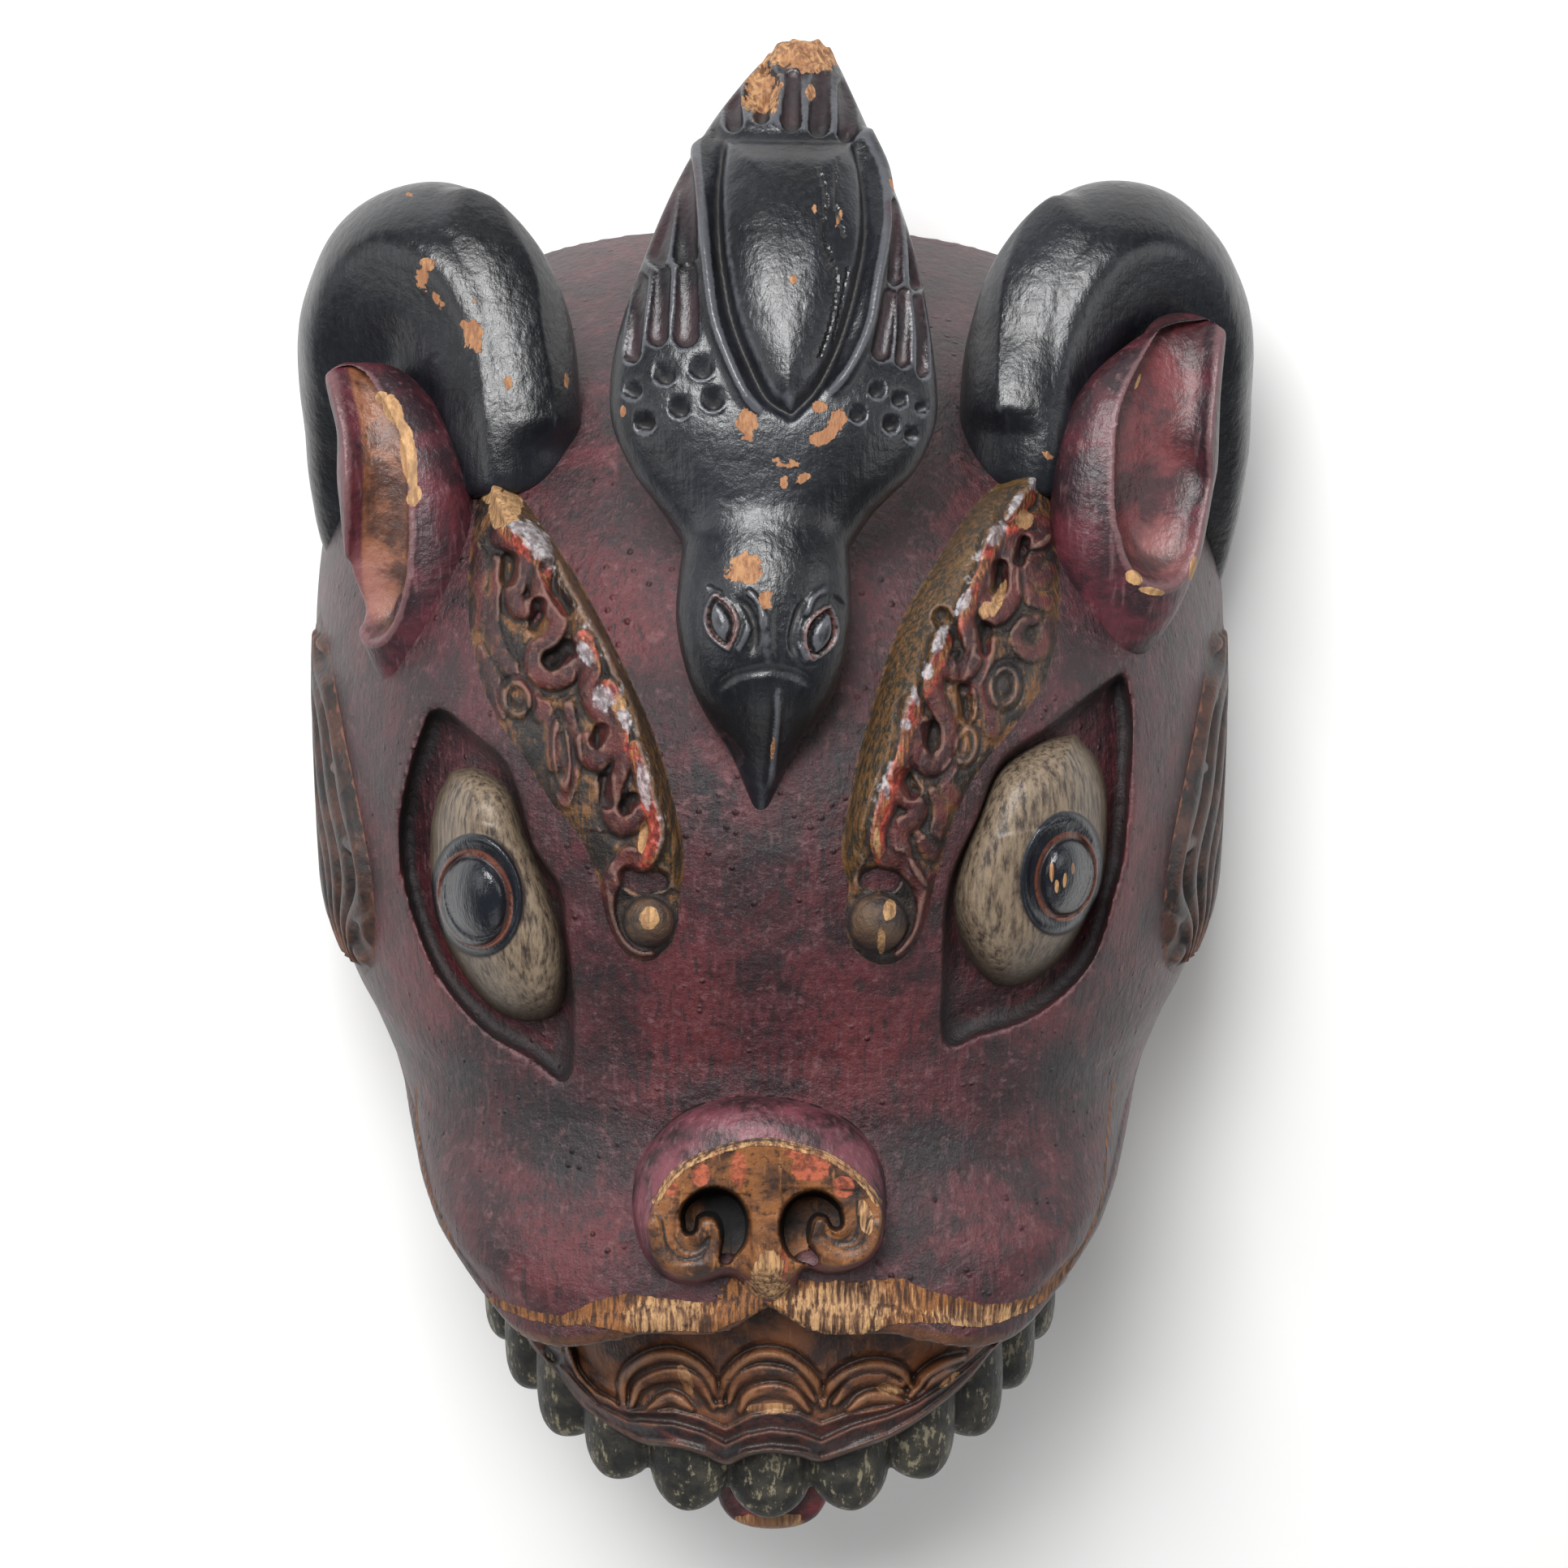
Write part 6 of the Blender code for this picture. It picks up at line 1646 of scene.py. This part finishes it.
def snout_finish():
    f = Finish("worn_snout", 0.46)
    speck = f.noise(480.0, 4.0, 0.6)
    patchy = f.noise(90.0, 4.0, 0.62, warp=0.4)
    brush = f.noise(1.0, 3.0, 0.6, (560, 90, 560))
    maroon = f.mix(patchy.between(0.35, 0.65), WINE_DARK, (0.15, 0.04, 0.055))
    maroon = f.mix(brush.between(0.5, 0.7) * 0.5, maroon, WINE_PINK_WEAR_AND_SHEEN)
    face = f.mix(patchy.between(0.36, 0.62), (0.03, 0.013, 0.008), (0.2, 0.075, 0.022))
    face = f.mix(brush.between(0.55, 0.68) * 0.6, face, (0.3, 0.13, 0.045))
    face = f.mix(speck.between(0.46, 0.34) * 0.7, face, (0.014, 0.008, 0.007))
    on_face = (f.mark("face") + (patchy - 0.5) * 0.5).between(-0.1, 0.15)
    colour = f.mix(on_face, maroon, face)
    red = worn_mask(f, f.mark("red"), 0.3)
    colour = f.mix(red * 0.85, colour, f.mix(speck.between(0.4, 0.62), (0.16, 0.04, 0.02), (0.42, 0.1, 0.05)))
    wood, grain = f.wood()
    bare = worn_mask(f, f.mark("bare"), 0.4)
    colour = f.mix(bare * 0.9, colour, wood)
    # Near black in hollows: soot in the small ones, painted shade in wide recesses.
    hollow = (f.mark("hollow").over(f.mark("deep") * 1.2) + (speck - 0.5) * 0.3).between(0.2, 0.65)
    colour = f.mix(hollow * 0.96, colour, (0.008, 0.006, 0.006))
    # Nostril gouges near black: painted shade.
    colour = f.mix(f.mark("pit").between(0.25, 0.7), colour, (0.005, 0.004, 0.004))
    f.set("Base Color", colour)
    f.set("Roughness", 0.4 + speck * 0.2 + bare * 0.2 + f.mark("pit") * 0.4)
    relief = f.bump(f.noise(380.0, 5.0, 0.6), 0.0008, 0.6)
    relief = f.bump(brush, 0.0008, 0.45, relief)
    f.set("Normal", f.bump(grain * bare, 0.001, 0.8, relief))
    return f.material


def gum_finish():
    f = Finish("gum_paint", 0.45)
    speck = f.noise(500.0, 4.0, 0.6)
    patchy = f.noise(85.0, 4.0, 0.62, warp=0.4)
    streak = f.noise(1.0, 3.0, 0.6, (700, 120, 700))
    gum = f.mix(patchy.between(0.36, 0.62), (0.026, 0.011, 0.008), (0.13, 0.046, 0.018))
    gum = f.mix(streak.between(0.56, 0.72) * 0.5, gum, (0.23, 0.095, 0.035))
    band = f.mix(patchy.between(0.42, 0.66), (0.014, 0.0095, 0.011), (0.07, 0.022, 0.018))
    colour = f.mix(f.mark("band"), gum, band)
    proud = (f.mark("proud") + (speck - 0.5) * 0.8 + (patchy - 0.5) * 0.8).between(0.5, 1.1)
    colour = f.mix(proud * 0.4 * (1.0 - f.mark("band") * 0.6), colour, (0.27, 0.13, 0.06))
    colour, _ = f.tinted_by_mark(colour, "hollow", (speck - 0.5) * 0.4, (0.2, 0.75), 0.85, (0.02, 0.011, 0.008))
    wood, _ = f.wood()
    bare = worn_mask(f, f.mark("bare"), 0.4)
    colour = f.mix(bare * 0.7, colour, wood)
    f.set("Base Color", colour)
    f.set("Roughness", 0.38 + speck * 0.2)
    relief = f.bump(f.noise(420.0, 5.0, 0.6), 0.0007, 0.6)
    f.set("Normal", f.bump(streak, 0.0007, 0.5, relief))
    return f.material


def tooth_finish():
    f = Finish("dirty_tooth", 0.48)
    speck = f.noise(520.0, 5.0, 0.65)
    patchy = f.noise(120.0, 4.0, 0.6)
    streak = f.noise(1.0, 4.0, 0.65, (620, 180, 620))
    colour = f.mix(patchy.between(0.36, 0.66), (0.008, 0.008, 0.0075), (0.04, 0.037, 0.026))
    pale = (streak * 0.9 + patchy * 0.6 + speck * 0.4).between(1.0, 1.1)
    colour = f.mix(pale * 0.7, colour, (0.25, 0.215, 0.14))
    colour, _ = f.tinted_by_mark(colour, "proud", (streak - 0.5) * 1.2, (0.5, 1.1), 0.4, (0.2, 0.17, 0.11))
    colour, _ = f.tinted_by_mark(colour, "hollow", (speck - 0.5) * 0.4, (0.25, 0.8), 0.85, (0.012, 0.01, 0.01))
    f.set("Base Color", colour)
    f.set("Roughness", 0.4 + speck * 0.25)
    relief = f.bump(speck, 0.0007, 0.6)
    f.set("Normal", f.bump(streak, 0.0007, 0.5, relief))
    return f.material


def tongue_finish():
    f = Finish("tongue_paint", 0.45)
    speck = f.noise(480.0, 4.0, 0.6)
    patchy = f.noise(100.0, 4.0, 0.6)
    colour = f.mix(patchy.between(0.36, 0.64), (0.03, 0.01, 0.012), (0.16, 0.02, 0.026))
    wood, _ = f.wood()
    bare = worn_mask(f, f.mark("bare"), 0.35)
    colour = f.mix(bare * 0.85, colour, wood)
    colour, _ = f.tinted_by_mark(colour, "hollow", (speck - 0.5) * 0.4, (0.25, 0.8), 0.85, SOOT_AND_SHADE)
    f.set("Base Color", colour)
    f.set("Roughness", 0.4 + speck * 0.2)
    f.set("Normal", f.bump(f.noise(400.0, 5.0, 0.6), 0.0007, 0.6))
    return f.material


def ear_finish(side):
    f = Finish("ear_paint_left" if side == LEFT else "ear_paint_right", 0.4)
    speck = f.noise(480.0, 4.0, 0.6)
    patchy = f.noise(80.0, 4.0, 0.62, warp=0.4)
    brush = f.noise(1.0, 3.0, 0.6, (500, 60, 500))
    body = f.mix(patchy.between(0.38, 0.66), (0.02, 0.008, 0.0115), (0.085, 0.017, 0.025))
    body = f.mix(brush.between(0.54, 0.72) * 0.4, body, WINE_PINK_WEAR_AND_SHEEN)
    if side == LEFT:
        cup = f.mix(patchy.between(0.38, 0.62), (0.05, 0.018, 0.011), (0.2, 0.075, 0.035))
    else:
        cup = f.mix(patchy.between(0.36, 0.62), (0.035, 0.011, 0.014), (0.125, 0.026, 0.03))
    cup = f.mix(speck.between(0.42, 0.3) * 0.6, cup, (0.03, 0.012, 0.012))
    colour = f.mix(f.mark("cup").between(0.3, 0.7), body, cup)
    pale = (f.mark("pale") + (patchy - 0.5) * 0.6).between(0.3, 1.0)
    colour = f.mix(pale * 0.55, colour, (0.28, 0.125, 0.115))
    colour, _ = f.tinted_by_mark(colour, "hollow", (speck - 0.5) * 0.4, (0.3, 0.9), 0.7, SOOT_AND_SHADE)
    # Raised parts lighter pink: worn paint, and painted sheen.
    colour, _ = f.tinted_by_mark(colour, "proud", (speck - 0.5) * 0.5, (0.3, 0.9), 0.5, WINE_PINK_WEAR_AND_SHEEN)
    wood, _ = f.wood((500, 90, 500))
    bare = worn_mask(f, f.mark("bare"), 0.25)
    colour = f.mix(bare, colour, f.mix(0.4, wood, WOOD_PALE))
    f.set("Base Color", colour)
    f.set("Roughness", 0.34 + speck * 0.2 + bare * 0.25)
    relief = f.bump(f.noise(360.0, 5.0, 0.6), 0.0008, 0.6)
    f.set("Normal", f.bump(brush, 0.0006, 0.4, relief))
    return f.material


def tuft_finish():
    f = Finish("tuft_gold", 0.42)
    speck = f.noise(480.0, 4.0, 0.6)
    patchy = f.noise(100.0, 4.0, 0.6)
    streak = f.noise(1.0, 3.0, 0.6, (500, 160, 500))
    colour = f.mix(patchy.between(0.38, 0.62), (0.012, 0.009, 0.009), (0.05, 0.022, 0.016))
    colour = f.mix(streak.between(0.58, 0.72) * 0.5, colour, (0.13, 0.05, 0.024))
    colour, _ = f.tinted_by_mark(colour, "proud", (speck - 0.5) * 0.6, (0.4, 1.0), 0.5, (0.22, 0.085, 0.045))
    colour, _ = f.tinted_by_mark(colour, "hollow", (speck - 0.5) * 0.4, (0.2, 0.75), 0.9, (0.015, 0.011, 0.011))
    f.set("Base Color", colour)
    f.set("Roughness", 0.38 + speck * 0.2)
    f.set("Normal", f.bump(f.noise(420.0, 5.0, 0.6), 0.0008, 0.6))
    return f.material


def floor_finish():
    f = Finish("pale_floor", 0.9)
    soft = f.noise(3.0, 3.0, 0.5)
    f.set("Base Color", f.mix(soft, (0.82, 0.82, 0.815), (0.84, 0.84, 0.835)))
    return f.material


def dress(obj, finish):
    obj.data.materials.clear()
    obj.data.materials.append(finish)
    active(obj)
    bpy.ops.object.shade_smooth()
    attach(obj, "root")
    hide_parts("mask")


def soft_box(name, place, aim, size, power, colour=(1, 1, 1)):
    bpy.ops.object.light_add(type="AREA", location=place)
    lamp = bpy.context.object
    lamp.name = name
    lamp.data.size = size
    lamp.data.energy = power
    lamp.data.color = colour
    lamp.rotation_euler = (Vector(aim) - Vector(place)).to_track_quat("-Z", "Y").to_euler()


def set_the_stage():
    bpy.ops.object.select_all(action="DESELECT")
    bpy.ops.mesh.primitive_plane_add(size=6.0, location=(0, 0, 0))
    floor = bpy.context.object
    floor.name = "floor"
    floor.data.materials.append(floor_finish())
    soft_box("high_box", (-0.25, 1.1, 1.5), (0, 0.02, 0.12), 0.7, 50.0)
    soft_box("left_box", (-1.3, 0.1, 0.9), (0, 0, 0.1), 0.9, 6.0)
    soft_box("right_box", (1.3, 0.2, 1.0), (0, 0, 0.1), 0.9, 7.0)
    soft_box("low_box", (0.1, -1.3, 0.9), (0, -0.05, 0.1), 0.9, 2.5)
    world = bpy.data.worlds.new("studio")
    bpy.context.scene.world = world
    world.use_nodes = True
    shade = world.node_tree.nodes["Background"]
    shade.inputs["Color"].default_value = (1, 1, 1, 1)
    shade.inputs["Strength"].default_value = 0.11

    target = Vector((VIEW_TARGET + GRID_ORIGIN) / 1000)
    place = target + Vector(VIEW_OUT) * VIEW_DISTANCE / 1000
    bpy.ops.object.camera_add(location=place)
    camera = bpy.context.object
    camera.data.sensor_width = 36.0
    camera.data.lens = 36.0 * VIEW_LENGTH / (2 * VIEW_MIDDLE)
    turn = Matrix((Vector((1, 0, 0)), Vector(VIEW_UP), Vector(VIEW_OUT))).transposed()
    camera.rotation_euler = turn.to_euler()
    camera.data.clip_start = 0.05
    bpy.context.scene.camera = camera
    bpy.context.scene.view_settings.view_transform = "Standard"


def main():
    set_the_stage()
    black = black_finish()
    dress(make_head(), maroon_finish())
    eye_paint, brow_paint, tuft_paint = eye_finish(), brow_finish(), tuft_finish()
    for side in (LEFT, RIGHT):
        dress(make_eye(side), eye_paint)
        dress(make_brow(side), brow_paint)
        dress(make_horn(side), black)
        dress(make_ear(side), ear_finish(side))
        dress(make_tuft(side), tuft_paint)
    dress(make_bird(), black)
    dress(make_snout(), snout_finish())
    dress(make_gums(), gum_finish())
    dress(make_teeth(), tooth_finish())
    dress(make_lower_lip(), tongue_finish())


main()
